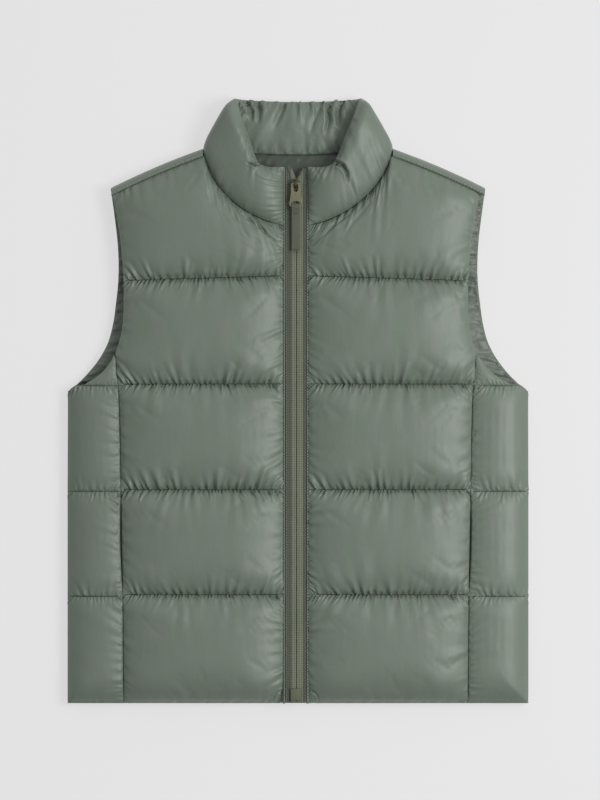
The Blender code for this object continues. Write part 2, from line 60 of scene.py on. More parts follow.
# The vest's own lines, in millimetres: all outlines are half widths.
outline = {
    "quiltY": (-222.8, -102.2, 19.0, 141.0),
    "quiltTilt": (0.0, 0.0, -0.5, -5.5),  # how far each line drops towards the armhole
    "sideDrop": 2.0,
    "backTopLine": 129.5,
    "shoulderTip": (215.6, 244.0),
    "neckPoint": (107.8, 290.0),
    "shoulderBulge": 2.0,
    "shoulderStrip": 9.3,
    "neckDepth": 90.5,
    "neckPower": 1.8,
    "backNeck": 283.0,
    "sideSeam": ((-348, 197.6), (-217, 198.6), (-102, 200.6), (-41, 201.6), (18, 203.8), (54.6, 207.4)),
    "armholeFront": (
        (11.5, 263.0), (15.5, 251.0), (22.4, 238.0), (30.5, 226.0), (40.8, 216.0), (54.6, 207.4),
        (72.0, 201.6), (92.6, 198.4), (115.6, 197.7), (142.0, 198.0), (173.0, 200.4), (205.0, 204.6),
        (236.0, 210.6),
    ),
    "armholeBack": (
        (11.5, 264.6), (16.5, 257.0), (25.9, 247.0), (44.3, 231.3), (63.8, 220.0), (88.0, 213.0),
        (111.0, 209.7), (134.0, 207.2), (160.0, 206.6), (184.6, 208.0), (215.0, 211.6), (244.0, 215.6),
    ),
}


# Lines and patches.


def smoothCurve(keys, values, at):
    keys, values = np.asarray(keys, float), np.asarray(values, float)
    slopes = np.gradient(values, keys)
    cell = np.clip(np.searchsorted(keys, at) - 1, 0, len(keys) - 2)
    span = keys[cell + 1] - keys[cell]
    t = np.clip((at - keys[cell]) / span, 0, 1)
    rise = (2 * t**3 - 3 * t**2 + 1) * values[cell] + (3 * t**2 - 2 * t**3) * values[cell + 1]
    lean = (t**3 - 2 * t**2 + t) * slopes[cell] + (t**3 - t**2) * slopes[cell + 1]
    return rise + lean * span


def evenly(points, count):
    points = np.asarray(points, float)
    steps = np.linalg.norm(np.diff(points, axis=0), axis=1)
    along = np.concatenate([[0], np.cumsum(steps)])
    at = np.linspace(0, along[-1], count)
    return np.stack([np.interp(at, along, points[:, k]) for k in range(points.shape[1])], axis=1)


def coons(bottom, top, left, right):
    u = np.linspace(0, 1, len(bottom))[None, :, None]
    v = np.linspace(0, 1, len(left))[:, None, None]
    ruled = (1 - v) * bottom[None] + v * top[None]
    across = (1 - u) * left[:, None] + u * right[:, None]
    corners = (1 - u) * (1 - v) * bottom[0] + u * (1 - v) * bottom[-1]
    corners = corners + (1 - u) * v * top[0] + u * v * top[-1]
    return ruled + across - corners


def alongRow(values):
    steps = np.linalg.norm(np.diff(values, axis=1), axis=2)
    return np.concatenate([np.zeros((len(values), 1)), np.cumsum(steps, axis=1)], axis=1)


def toEdges(patch):
    # distances in the cloth from each point to the patch's left, right, bottom and top edge
    across = alongRow(patch)
    up = alongRow(patch.transpose(1, 0, 2)).T
    return across, across[:, -1:] - across, up, up[-1:] - up


def resample(grid, at, axis):
    # the grid read smoothly at other places along one axis, given in steps of its own points
    grid = np.moveaxis(grid, axis, 0)
    wide = np.concatenate([2 * grid[:1] - grid[1:2], grid, 2 * grid[-1:] - grid[-2:-1]])
    cell = np.clip(np.floor(at).astype(int), 0, len(grid) - 2)
    t = (at - cell).reshape(-1, *[1] * (grid.ndim - 1))
    a, b, c, d = wide[cell], wide[cell + 1], wide[cell + 2], wide[cell + 3]
    cubic = (3 * (b - c) + d - a) * t**3 + (2 * a - 5 * b + 4 * c - d) * t**2 + (c - a) * t
    return np.moveaxis(b + 0.5 * cubic, 0, axis)


def gradedSteps(length, close, wide, reach):
    # places from 0 to 1 along a length: close together near both ends, wider apart between
    at, places = 0.0, [0.0]
    while at < length:
        inside = min(at, length - at) / reach
        at += close + (wide - close) * min(max(inside, 0), 1) ** 1.5
        places.append(at)
    return np.array(places) / places[-1]


def finer(grid, look, across, up=None):
    up = up or alongRow(grid.transpose(1, 0, 2))[:, -1].max() / mm
    columns = gradedSteps(across, look["closeAcross"], look["wideAcross"], 20.0) * (grid.shape[1] - 1)
    rows = gradedSteps(up, look["closeUp"], look["wideUp"], look["fineReach"]) * (grid.shape[0] - 1)
    return resample(resample(grid, columns, 1), rows, 0)


def swell(distance, reach):
    near = 1 - np.clip(distance / reach, 0, 1)
    return (1 - near**2.2) ** 0.8


def shoulderLine(count, drop):
    share = np.linspace(0, 1, count)
    (neckX, neckY), (tipX, tipY) = outline["neckPoint"], outline["shoulderTip"]
    x = neckX + (tipX - neckX) * share
    y = neckY + (tipY - neckY) * share + 4 * outline["shoulderBulge"] * share * (1 - share)
    return np.stack([x, y - drop], axis=1)


# Padded cloth.


def blowUp(name, grids, pins, pad):
    # Fills padded cloth out with Blender's cloth: the pinned points are its seams.
    sizes = [grid.shape[:2] for grid in grids]
    points = np.concatenate([grid.reshape(-1, 3) for grid in grids])
    faces, start = [], 0
    for rows, columns in sizes:
        index = start + np.arange(rows * columns).reshape(rows, columns)
        cells = np.stack([index[:-1, :-1], index[:-1, 1:], index[1:, 1:], index[1:, :-1]], axis=-1)
        faces.append(cells.reshape(-1, 4))
        start += rows * columns
    mesh = bpy.data.meshes.new(name)
    mesh.from_pydata(points.tolist(), [], np.concatenate(faces).tolist())
    cloth = bpy.data.objects.new(name, mesh)
    scene.collection.objects.link(cloth)
    held = np.concatenate([pin.ravel() for pin in pins])
    group = cloth.vertex_groups.new(name="seams")
    group.add([int(i) for i in np.flatnonzero(held)], 1.0, "REPLACE")
    modifier = cloth.modifiers.new("cloth", "CLOTH")
    settings = modifier.settings
    settings.quality = pad["quality"]
    settings.mass = 0.15
    settings.tension_stiffness = settings.compression_stiffness = pad["stretch"]
    settings.shear_stiffness = pad["shear"]
    settings.bending_stiffness = pad["bend"]
    settings.tension_damping = settings.compression_damping = settings.shear_damping = 5
    settings.bending_damping = 0.5
    settings.use_pressure = True
    settings.uniform_pressure_force = pad["pressure"]
    settings.vertex_group_mass = "seams"
    settings.effector_weights.gravity = 0
    modifier.collision_settings.use_collision = False
    modifier.collision_settings.use_self_collision = False
    modifier.point_cache.frame_start, modifier.point_cache.frame_end = 1, pad["frames"]
    scene.frame_start, scene.frame_end = 1, pad["frames"]
    for frameNumber in range(1, pad["frames"] + 1):
        scene.frame_set(frameNumber)
    settled = cloth.evaluated_get(bpy.context.evaluated_depsgraph_get()).to_mesh()
    out = np.empty(len(points) * 3)
    settled.vertices.foreach_get("co", out)
    out = out.reshape(-1, 3)
    cloth.to_mesh_clear()
    bpy.data.objects.remove(cloth)
    scene.frame_set(1)
    moved = out - points
    far = np.linalg.norm(moved, axis=1, keepdims=True)
    out = points + moved * np.minimum(1, pad["cap"] * mm / np.maximum(far, 1e-9))
    cuts = np.cumsum([rows * columns for rows, columns in sizes])[:-1]
    return [part.reshape(rows, columns, 3) for part, (rows, columns) in zip(np.split(out, cuts), sizes)]


def puckers(patch, normals, rows, random):
    # Small gathers that run off each sewn edge and die away, uneven in size, length and slant.
    lift = np.zeros(patch.shape[:2])
    toLeft, toRight, toBottom, toTop = toEdges(patch)
    shape = patch.shape[:2]
    runs = {
        "left": (toLeft, np.broadcast_to(toBottom[:, :1], shape)),
        "right": (toRight, np.broadcast_to(toBottom[:, -1:], shape)),
        "bottom": (toBottom, np.broadcast_to(toLeft[:1], shape)),
        "top": (toTop, np.broadcast_to(toLeft[-1:], shape)),
    }
    for edge, pitch, height, reach, fan, lean, start, stop in rows:
        away, along = runs[edge]
        length = float(along.max())
        near = away < 2.6 * reach * mm
        off, run = away[near], along[near]
        total = np.zeros(off.shape)
        rise = np.clip((off - 0.5 * mm) / (1.8 * mm), 0, 1)
        at = start * length + random.uniform(0, pitch) * mm
        while at < stop * length:
            tall = height * mm * random.uniform(0.3, 1.0)
            wide = pitch * mm * random.uniform(0.18, 0.30)
            far = reach * mm * (0.55 + 1.1 * random.random() ** 2)
            slant = fan * (2 * at / length - 1) + lean + random.normal(0, 0.12)
            at += pitch * mm * random.uniform(0.6, 1.4)
            across = np.abs(run - at - slant * off) / (wide * (1 + off / (1.6 * far)))
            close = across < 3.2
            fade = rise[close] * np.exp(-((off[close] / far) ** 1.5))
            hollow = 0.5 * np.exp(-(((across[close] - 1.7) / 0.7) ** 2))
            hollow *= np.clip(off[close] / (3 * mm), 0, 1)
            total[close] += tall * (np.exp(-(across[close] ** 1.5)) - hollow) * fade
        lift[near] += total
    upright = np.clip(np.abs(normals[..., 2]) / 0.8, 0.15, 1)  # steep edges keep a clean outline
    return patch + normals * (lift * upright)[..., None]


def gridNormals(patch):
    normals = np.cross(np.gradient(patch, axis=1), np.gradient(patch, axis=0))
    return normals / np.maximum(np.linalg.norm(normals, axis=2, keepdims=True), 1e-12)


def heightProbe(node):
    tree = BVHTree.FromObject(bpy.data.objects[node], bpy.context.evaluated_depsgraph_get())

    def heightAt(x, y, up):
        start = Vector((x, y, -1.0 if up else 1.0))
        hit = tree.ray_cast(start, Vector((0, 0, 1 if up else -1)))[0]
        if hit is None:
            hit = tree.find_nearest(Vector((x, y, 0.02)))[0]
        return hit.z

    return heightAt


def addMesh(name, points, faces, material, smooth=True):
    mesh = bpy.data.meshes.new(name)
    mesh.from_pydata(np.asarray(points).tolist(), [], [list(map(int, face)) for face in faces])
    mesh.update()
    obj = bpy.data.objects.new(name, mesh)
    scene.collection.objects.link(obj)
    mesh.materials.append(material)
    if smooth:
        mesh.shade_smooth()
    return obj


def closedPad(name, top, rimAt, underAt, material, across=9, sharp=65):
    # A closed pad: the fine outer cloth, a narrow turned edge, and a plain underside of few columns.
    rows, columns = top.shape[:2]
    index = np.arange(rows * columns).reshape(rows, columns)
    cells = np.stack([index[:-1, :-1], index[:-1, 1:], index[1:, 1:], index[1:, :-1]], axis=-1)
    faces = cells.reshape(-1, 4).tolist()
    ring = [*index[0], *index[1:, -1], *index[-1, -2::-1], *index[-2:0:-1, 0]]
    points = list(top.reshape(-1, 3))
    lower = {}
    for place in ring:
        lower[place] = len(points)
        points.append(rimAt(*divmod(int(place), columns)))
    for a, b in zip(ring, ring[1:] + ring[:1]):
        faces.append([lower[a], lower[b], b, a])
    picks = np.unique(np.round(np.linspace(0.02, 0.98, across) * (columns - 1)).astype(int))
    under = {}
    for r in range(1, rows - 1):
        for c in picks:
            under[r, c] = len(points)
            points.append(underAt(r, int(c)))
    for r in range(1, rows - 2):
        here = [lower[index[r, 0]], *[under[r, c] for c in picks], lower[index[r, -1]]]
        above = [lower[index[r + 1, 0]], *[under[r + 1, c] for c in picks], lower[index[r + 1, -1]]]
        for k in range(len(here) - 1):
            faces.append([here[k], above[k], above[k + 1], here[k + 1]])
    for edge, inner in ((0, 1), (rows - 1, rows - 2)):
        outside = [lower[i] for i in index[edge]]
        inside = [lower[index[inner, 0]], *[under[inner, c] for c in picks], lower[index[inner, -1]]]
        cuts = [0, *picks, columns - 1]
        for k in range(len(cuts) - 1):
            run = outside[cuts[k] : cuts[k + 1] + 1]
            if k == 0 and cuts[1] == 0:
                continue
            faces.append([*run, inside[k + 1], inside[k]])
    obj = addMesh(name, points, faces, material)
    work = bmesh.new()
    work.from_mesh(obj.data)
    bmesh.ops.recalc_face_normals(work, faces=work.faces)
    work.to_mesh(obj.data)
    work.free()
    obj.data.set_sharp_from_angle(angle=math.radians(sharp))
    return obj


def groove(top, normals, line, depth, width):
    # presses a crease into the cloth along a line of places in millimetres, dying away to its end
    away, share = np.full(top.shape[:2], 1.0), np.zeros(top.shape[:2])
    line = np.asarray(line, float) * mm
    lengths = np.linalg.norm(np.diff(line, axis=0), axis=1)
    before = np.concatenate([[0], np.cumsum(lengths)])
    for k, (a, b) in enumerate(zip(line, line[1:])):
        run = b - a
        t = np.clip(((top[..., :2] - a) @ run) / (run @ run), 0, 1)
        off = np.linalg.norm(top[..., :2] - a - t[..., None] * run, axis=2)
        closer = off < away
        away = np.where(closer, off, away)
        share = np.where(closer, (before[k] + t * lengths[k]) / before[-1], share)
    away = away / (width * mm * (1.15 - 0.5 * share))
    shape = 0.2 * np.exp(-(((away - 2.4) / 1.1) ** 2)) - np.exp(-(away**1.6))
    front = np.clip(normals[..., 2] / 0.3, 0, 1)
    ends = np.clip((share + 0.3) / 0.55, 0, 1) * (1 - share**2)
    return top + normals * (depth * mm * shape * front * ends)[..., None]


def finishPad(piece, node, body="vest"):
    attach(piece, body)
    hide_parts(node)
    return piece


# Fronts and side panels.

bodyPads = {
    "spacing": 4.4,  # of the cloth's points in the simulation
    "closeAcross": 0.9,
    "wideAcross": 0.9,
    "closeUp": 0.9,
    "wideUp": 2.4,
    "fineReach": 30.0,
    "seamZ": 24.6,
    "rimZ": 13.2,
    "rimReach": 40.0,
    "startHeight": 13.0,
    "sideReach": 46.0,
    "topReach": 26.0,
    "bottomReach": 28.0,
    "startRipple": 0.12,
    "pressure": 2.5,
    "stretch": 15.0,
    "shear": 5.0,
    "bend": 0.05,
    "quality": 4,
    "frames": 22,
    "cap": 9.0,
}
# Rows of gathers: edge, pitch, height and reach in millimetres, fan, lean, and the edge's part that has them.
frontGathers = (
    ("top", 3.7, 5.0, 6.5, 0.85, 0, 0, 1),
    ("top", 9.0, 1.9, 12.0, 0.70, 0, 0, 1),
    ("top", 15.0, 1.3, 24.0, 0.35, 0, 0.1, 0.9),
    ("bottom", 4.2, 1.5, 4.0, 0.60, 0, 0, 1),
    ("bottom", 7.5, 4.4, 11.0, 0.60, 0, 0, 1),
    ("bottom", 14.0, 1.6, 22.0, 0.35, 0, 0.1, 0.9),
    ("inner", 4.6, 2.2, 6.0, 0.85, 0, 0, 1),
    ("inner", 11.0, 2.2, 14.0, 0.80, 0, 0, 1),
    ("outer", 7.0, 1.2, 7.0, 0.85, 0, 0, 1),
    ("outer", 16.0, 1.3, 15.0, 0.80, 0, 0, 1),
)
hemGathers = (
    *[row for row in frontGathers if row[0] != "bottom"],
    ("bottom", 7.0, 0.7, 5.0, 0.5, 0, 0, 1),
    ("bottom", 13.0, 1.6, 14.0, 0.5, 0, 0, 1),
)
neckGathers = (  # the top chamber: full along the neck, slight along the shoulder
    *[row for row in frontGathers if row[0] != "top"],
    ("top", 3.9, 4.2, 6.5, 0.85, 0, 0, 0.52),
    ("top", 9.0, 2.8, 14.0, 0.70, 0, 0, 0.52),
    ("top", 15.0, 1.8, 30.0, 0.50, 0, 0.04, 0.50),
    ("top", 4.5, 0.9, 4.0, 0.2, 0, 0.54, 1),
    ("top", 11.0, 1.5, 16.0, 0.2, -0.1, 0.56, 0.98),
)
sidePads = {**bodyPads, "sideReach": 26.0, "startHeight": 5.0, "pressure": 1.0, "cap": 4.0}
sideGathers = (
    ("top", 3.9, 2.4, 5.5, 0.6, 0, 0, 1),
    ("bottom", 4.2, 1.4, 4.0, 0.5, 0, 0, 1),
    ("bottom", 8.0, 2.4, 9.0, 0.5, 0, 0, 1),
    ("inner", 4.6, 2.0, 8.0, 0.5, 0.35, 0, 1),
    ("inner", 11.0, 1.6, 13.0, 0.5, 0.35, 0, 1),
    ("outer", 22.0, 0.7, 8.0, 0.3, 0, 0, 1),
)
cornerGathers = (("bottom", 4.2, 1.2, 4.0, 0.5, 0, 0, 0.8), ("inner", 5.0, 1.0, 5.0, 0.5, 0.2, 0, 0.7))
sideHemGathers = (
    *[row for row in sideGathers if row[0] != "bottom"],
    ("bottom", 9.0, 0.8, 7.0, 0.5, 0, 0, 1),
)


def seamLevel(x, y):
    inside = np.minimum(y - hemY, halfWidth - np.abs(x))
    share = 1 - swell(np.clip(inside, 0, 1), bodyPads["rimReach"] * mm)
    return (bodyPads["seamZ"] + (bodyPads["rimZ"] - bodyPads["seamZ"]) * share) * mm


def frontPatches(side):
    # Each chamber of a front as a patch between its sewn lines, in metres, inner edge first.
    edge = frontEdge / mm
    height = [hemY / mm, *outline["quiltY"]]
    tilt = [0.0, *outline["quiltTilt"]]
    columns = 1 + round((198 - edge) / bodyPads["spacing"])

    def outerHalf(y):
        seam = smoothCurve(*zip(*outline["sideSeam"]), y)
        armhole = smoothCurve(*zip(*outline["armholeFront"]), y)
        return np.where(y < outline["sideSeam"][-1][0], seam, armhole)

    def quiltLine(k):
        share = np.linspace(0, 1, columns)
        y = height[k] + tilt[k] * (share - 0.4)
        end = outerHalf(np.array([y[-1]]))[0]
        return np.stack([edge + (end - edge) * share, y], axis=1)

    lines = [quiltLine(k) for k in range(5)]
    neckX, neckY = outline["neckPoint"]
    lean = side * zipX / mm
    turn = np.linspace(0, math.pi / 2, 200)
    neck = np.stack([neckX * np.sin(turn) ** (2 / outline["neckPower"]),
                     neckY - outline["neckDepth"] * np.cos(turn) ** (2 / outline["neckPower"])], axis=1)
    neck[:, 0] -= lean * (1 - (neckY - neck[:, 1]) / outline["neckDepth"])
    shoulder = shoulderLine(60, drop=outline["shoulderStrip"] + 0.3)
    shoulder[:, 0] -= lean
    neck = neck[(neck[:, 0] > edge) & (neck[:, 1] < shoulder[0, 1])]
    neck = np.concatenate([[[edge, neck[0, 1] - 0.3]], neck, shoulder[:1]])
    ownTip = outline["armholeFront"][-1]
    shoulder = shoulder[shoulder[:, 0] < ownTip[1] - 3]
    shoulder = np.concatenate([shoulder, [[ownTip[1], ownTip[0] - 2.0]]])
    inNeck = round(0.53 * columns)
    top = np.concatenate([evenly(neck, inNeck + 1), evenly(shoulder, columns - inNeck)[1:]])
    lines.append(top)
    patches = []
    for low, high in zip(lines, lines[1:]):
        tall = max(np.linalg.norm(high[0] - low[0]), np.linalg.norm(high[-1] - low[-1]))
        rows = 1 + round(tall / bodyPads["spacing"])
        leftY = np.linspace(low[0, 1], high[0, 1], rows)
        left = np.stack([np.full(rows, edge), leftY], axis=1)
        rightY = np.linspace(low[-1, 1], high[-1, 1], rows)
        right = np.stack([outerHalf(rightY), rightY], axis=1)
        right[0], right[-1] = low[-1], high[-1]
        patch = coons(low, high, left, right)
        patch[..., 0] = side * patch[..., 0] + zipX / mm
        patches.append(patch * mm)
    return patches


def sidePatches(side):
    lean = side * zipX / mm
    height = [hemY / mm, *[y - outline["sideDrop"] for y in outline["quiltY"][:3]]]
    columns = 1 + round(66 / bodyPads["spacing"])
    full = halfWidth / mm

    def seamHalf(y):
        slit = np.clip((y + 218) / 111, 0, 1)
        return smoothCurve(*zip(*outline["sideSeam"]), y) + 0.5 + 1.7 * np.sin(np.pi * slit) + lean

    armhole = [(x + lean * np.clip((y - 11.5) / 40, 0, 1), y) for y, x in outline["armholeFront"]]
    lines = []
    for y in height[:3]:
        share = np.linspace(0, 1, columns)
        start = seamHalf(np.array([y]))[0]
        lines.append(np.stack([start + (full - start) * share, np.full(columns, y)], axis=1))
    y = height[3]
    start = seamHalf(np.array([y]))[0]
    lines.append(evenly([(start, y), (full - 19, y + 0.5), (full - 9, y - 0.6), (full - 0.4, 10.6)], columns))
    topY = outline["sideSeam"][-1][0] - 2.5
    rising = np.array(armhole)[:6]
    fineY = np.linspace(topY, 11.9, 80)
    curveX = smoothCurve(rising[:, 1], rising[:, 0], fineY)
    curve = np.stack([curveX, fineY], axis=1)
    curve[0, 0] = max(curve[0, 0], seamHalf(np.array([topY]))[0] + 1.4)
    lines.append(evenly(curve, columns))
    patches = []
    for low, high in zip(lines, lines[1:]):
        tall = max(np.linalg.norm(high[0] - low[0]), np.linalg.norm(high[-1] - low[-1]))
        rows = 1 + round(tall / bodyPads["spacing"])
        leftY = np.linspace(low[0, 1], high[0, 1], rows)
        left = np.stack([seamHalf(leftY), leftY], axis=1)
        left[0], left[-1] = low[0], high[0]
        right = low[-1] + (high[-1] - low[-1]) * np.linspace(0, 1, rows)[:, None]
        patch = coons(low, high, left, right)
        patch[..., 0] = side * patch[..., 0]
        patches.append(patch * mm)
    return patches


def raisePatch(patch, pad):
    toLeft, toRight, toBottom, toTop = toEdges(patch)
    full = swell(np.minimum(toLeft, toRight), pad["sideReach"] * mm)
    full *= swell(toBottom, pad["bottomReach"] * mm) * swell(toTop, pad["topReach"] * mm)
    level = seamLevel(patch[..., 0], patch[..., 1])
    return np.concatenate([patch, (level + pad["startHeight"] * mm * full)[..., None]], axis=2)


def ripples(patch, random, height):
    # uneven shallow waves, so that no two chambers fill out alike
    waves = np.zeros(patch.shape[:2])
    for _ in range(14):
        way, length = random.uniform(0, math.pi), random.uniform(18, 60) * mm
        across = patch[..., 0] * math.cos(way) + patch[..., 1] * math.sin(way)
        waves += np.cos(2 * math.pi * across / length + random.uniform(0, 6.3))
    return waves * height * mm / 4


def rimOf(patch):
    rim = np.zeros(patch.shape[:2], bool)
    rim[0] = rim[-1] = rim[:, 0] = rim[:, -1] = True
    return rim


def facing(rows, flipped):
    # the gathers' rows with their edges named for a patch that may run the other way
    words = {"inner": "right", "outer": "left"} if flipped else {"inner": "left", "outer": "right"}
    turned = []
    for edge, pitch, height, reach, fan, lean, start, stop in rows:
        if flipped and edge not in words:
            lean, start, stop = -lean, 1 - stop, 1 - start
        turned.append((words.get(edge, edge), pitch, height, reach, fan, lean, start, stop))
    return turned


def makePanel(name, patches, node, material, seed, pad, gathers, creases=()):
    random = np.random.default_rng(seed)
    grids = [raisePatch(patch, pad) for patch in patches]
    flipped = grids[0][0, -1, 0] < grids[0][0, 0, 0]
    if flipped:
        grids = [grid[:, ::-1] for grid in grids]
    for grid in grids:
        grid[1:-1, 1:-1, 2] += ripples(grid, random, pad["startRipple"])[1:-1, 1:-1]
    grids = blowUp(name, grids, [rimOf(grid) for grid in grids], pad)
    stacked = []
    across = alongRow(grids[0])[:, -1].mean() / mm
    for number, grid in enumerate(grids):
        fine = finer(grid, pad, across)
        own = gathers[0 if number == 0 else 2 if number == len(grids) - 1 else 1]
        fine = puckers(fine, gridNormals(fine), facing(own, flipped), random)
        stacked.append(fine if number == 0 else fine[1:])
    top = np.concatenate(stacked)
    for line, depth, width in creases:
        top = groove(top, gridNormals(top), line, depth, width)
    probe = heightProbe(node)

    def rimAt(r, c):
        return top[r, c] - np.array([0, 0, 2.0 * mm])

    def underAt(r, c):
        x, y, z = top[r, c]
        return np.array([x, y, min(probe(x, y, True), z - 1.5 * mm)])

    return finishPad(closedPad(name, top, rimAt, underAt, material), node)


# Finishes.

shellCloth = {
    "color": (0.139, 0.180, 0.137),
    "greyer": (0.152, 0.180, 0.148),
    "rough": 0.46,
    "sheen": 0.12,
    "grain": 900.0,  # threads to the metre, coarser than the real taffeta's
    "grainDepth": 0.00002,
    "rumple": 0.0007,
}
liningCloth = {
    "color": (0.104, 0.134, 0.102),
    "greyer": (0.113, 0.135, 0.109),
    "rough": 0.45,
    "sheen": 0.10,
    "grain": 900.0,
    "grainDepth": 0.00002,
    "rumple": 0.0010,
    "neckShadeFrom": 0.250,  # painted shade: the lining is darkened above this height, where the collar shades the neck
    "neckShadeDark": 0.5,
}
tapeWeave = {
    "color": (0.140, 0.162, 0.112),
    "greyer": (0.172, 0.190, 0.138),
    "rough": 0.75,
    "sheen": 0.2,
    "grain": 500.0,
    "grainDepth": 0.0002,
    "rumple": 0.0001,
    "shadeBeyondCoil": 0.52,  # painted shade: the plain tape beside the coil is darkened, where the facing shades it
    "coilMiddle": 1.35,
    "coilHalf": 6.9,
}
strapWeave = {
    "color": (0.090, 0.100, 0.072),
    "greyer": (0.112, 0.116, 0.088),
    "rough": 0.8,
    "sheen": 0.2,
    "grain": 500.0,
    "grainDepth": 0.0002,
    "rumple": 0.0001,
}
threadLook = {
    "color": (0.034, 0.044, 0.034),
    "greyer": (0.042, 0.050, 0.040),
    "rough": 0.6,
    "sheen": 0.1,
    "grain": 2500.0,
    "grainDepth": 0.00004,
    "rumple": 0.0001,
}
paleThreadLook = {**threadLook, "color": (0.20, 0.24, 0.19), "greyer": (0.22, 0.24, 0.20)}


# painted shade: the lining's colour is darkened above a height, where the standing collar shades the neck
def paintNeckShade(nodes, links, place, tint, shader, look):
    parts = nodes.new("ShaderNodeSeparateXYZ")
    above = nodes.new("ShaderNodeMapRange")
    above.inputs["From Min"].default_value = look["neckShadeFrom"]
    above.inputs["From Max"].default_value = look["neckShadeFrom"] + 0.004
    above.inputs["To Min"].default_value = 1.0
    above.inputs["To Max"].default_value = look["neckShadeDark"]
    scaled = nodes.new("ShaderNodeVectorMath")
    scaled.operation = "SCALE"
    links.new(place.outputs["Object"], parts.inputs["Vector"])
    links.new(parts.outputs["Y"], above.inputs["Value"])
    links.new(tint.outputs["Result"], scaled.inputs[0])
    links.new(above.outputs["Result"], scaled.inputs["Scale"])
    links.new(scaled.outputs["Vector"], shader.inputs["Base Color"])


def tapeShadeAndWeave(nodes, links, place, tint, woven, shader, look):
    # the zip tape: painted shade on the plain tape beyond the coil, where the facing shades it, and darker
    # between its threads
    parts = nodes.new("ShaderNodeSeparateXYZ")
    fromCoil = nodes.new("ShaderNodeMath")
    fromCoil.operation = "SUBTRACT"
    fromCoil.inputs[1].default_value = zipX + look["coilMiddle"] * mm
    size = nodes.new("ShaderNodeMath")
    size.operation = "ABSOLUTE"
    beyond = nodes.new("ShaderNodeMapRange")
    beyond.inputs["From Min"].default_value = (look["coilHalf"] - 0.4) * mm
    beyond.inputs["From Max"].default_value = (look["coilHalf"] + 0.4) * mm
    beyond.inputs["To Min"].default_value = 1.0
    beyond.inputs["To Max"].default_value = look["shadeBeyondCoil"]
    between = nodes.new("ShaderNodeMapRange")
    between.inputs["To Min"].default_value = 0.66
    between.inputs["To Max"].default_value = 1.7
    level = nodes.new("ShaderNodeMath")
    level.operation = "MULTIPLY"
    scaled = nodes.new("ShaderNodeVectorMath")
    scaled.operation = "SCALE"
    links.new(place.outputs["Object"], parts.inputs["Vector"])
    links.new(parts.outputs["X"], fromCoil.inputs[0])
    links.new(fromCoil.outputs[0], size.inputs[0])
    links.new(size.outputs[0], beyond.inputs["Value"])
    links.new(woven.outputs[0], between.inputs["Value"])
    links.new(beyond.outputs["Result"], level.inputs[0])
    links.new(between.outputs["Result"], level.inputs[1])
    links.new(tint.outputs["Result"], scaled.inputs[0])
    links.new(level.outputs[0], scaled.inputs["Scale"])
    links.new(scaled.outputs["Vector"], shader.inputs["Base Color"])


def fabricMaterial(name, look):
    # Woven cloth: a drifting tint drawn out along the cloth, and a weave of crossed threads as bump.
    material = bpy.data.materials.new(name)
    material.use_nodes = True
    nodes, links = material.node_tree.nodes, material.node_tree.links
    shader = nodes["Principled BSDF"]
    shader.inputs["Roughness"].default_value = look["rough"]
    shader.inputs["Sheen Weight"].default_value = look["sheen"]
    shader.inputs["Sheen Roughness"].default_value = 0.4
    place = nodes.new("ShaderNodeTexCoord")
    drawn = nodes.new("ShaderNodeMapping")
    drawn.inputs["Scale"].default_value = (1.0, 0.3, 1.0)
    cloud = nodes.new("ShaderNodeTexNoise")
    cloud.inputs["Scale"].default_value = 70.0
    cloud.inputs["Detail"].default_value = 3.0
    spread = nodes.new("ShaderNodeMapRange")
    spread.inputs["From Min"].default_value = 0.3
    spread.inputs["From Max"].default_value = 0.7
    tint = nodes.new("ShaderNodeMix")
    tint.data_type = "RGBA"
    tint.inputs["A"].default_value = (*look["color"], 1)
    tint.inputs["B"].default_value = (*look["greyer"], 1)
    links.new(place.outputs["Object"], drawn.inputs["Vector"])
    links.new(drawn.outputs["Vector"], cloud.inputs["Vector"])
    links.new(cloud.outputs["Fac"], spread.inputs["Value"])
    links.new(spread.outputs["Result"], tint.inputs["Factor"])
    links.new(tint.outputs["Result"], shader.inputs["Base Color"])
    threads = []
    for way in ("X", "Y"):
        wave = nodes.new("ShaderNodeTexWave")
        wave.bands_direction = way
        wave.inputs["Scale"].default_value = look["grain"] * math.pi / 10
        wave.inputs["Distortion"].default_value = 0.6
        wave.inputs["Detail Scale"].default_value = 2.0
        links.new(place.outputs["Object"], wave.inputs["Vector"])
        threads.append(wave.outputs["Fac"])
    woven = nodes.new("ShaderNodeMath")
    woven.operation = "MULTIPLY"
    links.new(threads[0], woven.inputs[0])
    links.new(threads[1], woven.inputs[1])
    rumple = nodes.new("ShaderNodeBump")
    rumple.inputs["Strength"].default_value = 0.5
    rumple.inputs["Distance"].default_value = look["rumple"]
    bump = nodes.new("ShaderNodeBump")
    bump.inputs["Strength"].default_value = 0.5
    bump.inputs["Distance"].default_value = look["grainDepth"]
    links.new(cloud.outputs["Fac"], rumple.inputs["Height"])
    links.new(woven.outputs[0], bump.inputs["Height"])
    links.new(rumple.outputs["Normal"], bump.inputs["Normal"])
    links.new(bump.outputs["Normal"], shader.inputs["Normal"])
    # painted shade on the lining near the neck
    if "neckShadeDark" in look:
        paintNeckShade(nodes, links, place, tint, shader, look)
    # painted shade on the zip tape beside the coil
    if "shadeBeyondCoil" in look:
        tapeShadeAndWeave(nodes, links, place, tint, woven, shader, look)
    return material


agedBrass = {
    "color": (0.235, 0.225, 0.135),
    "dull": (0.150, 0.150, 0.100),
    "rough": 0.42,
    "metallic": 0.85,
}
# a darker copy of the brass, used on the slider body
darkerBrass = {**agedBrass, "color": (0.110, 0.105, 0.064), "dull": (0.062, 0.062, 0.040)}
boxPaint = {
    **agedBrass,
    "color": (0.135, 0.142, 0.093),
    "dull": (0.100, 0.106, 0.070),
    "rough": 0.6,
    "metallic": 0.3,
}


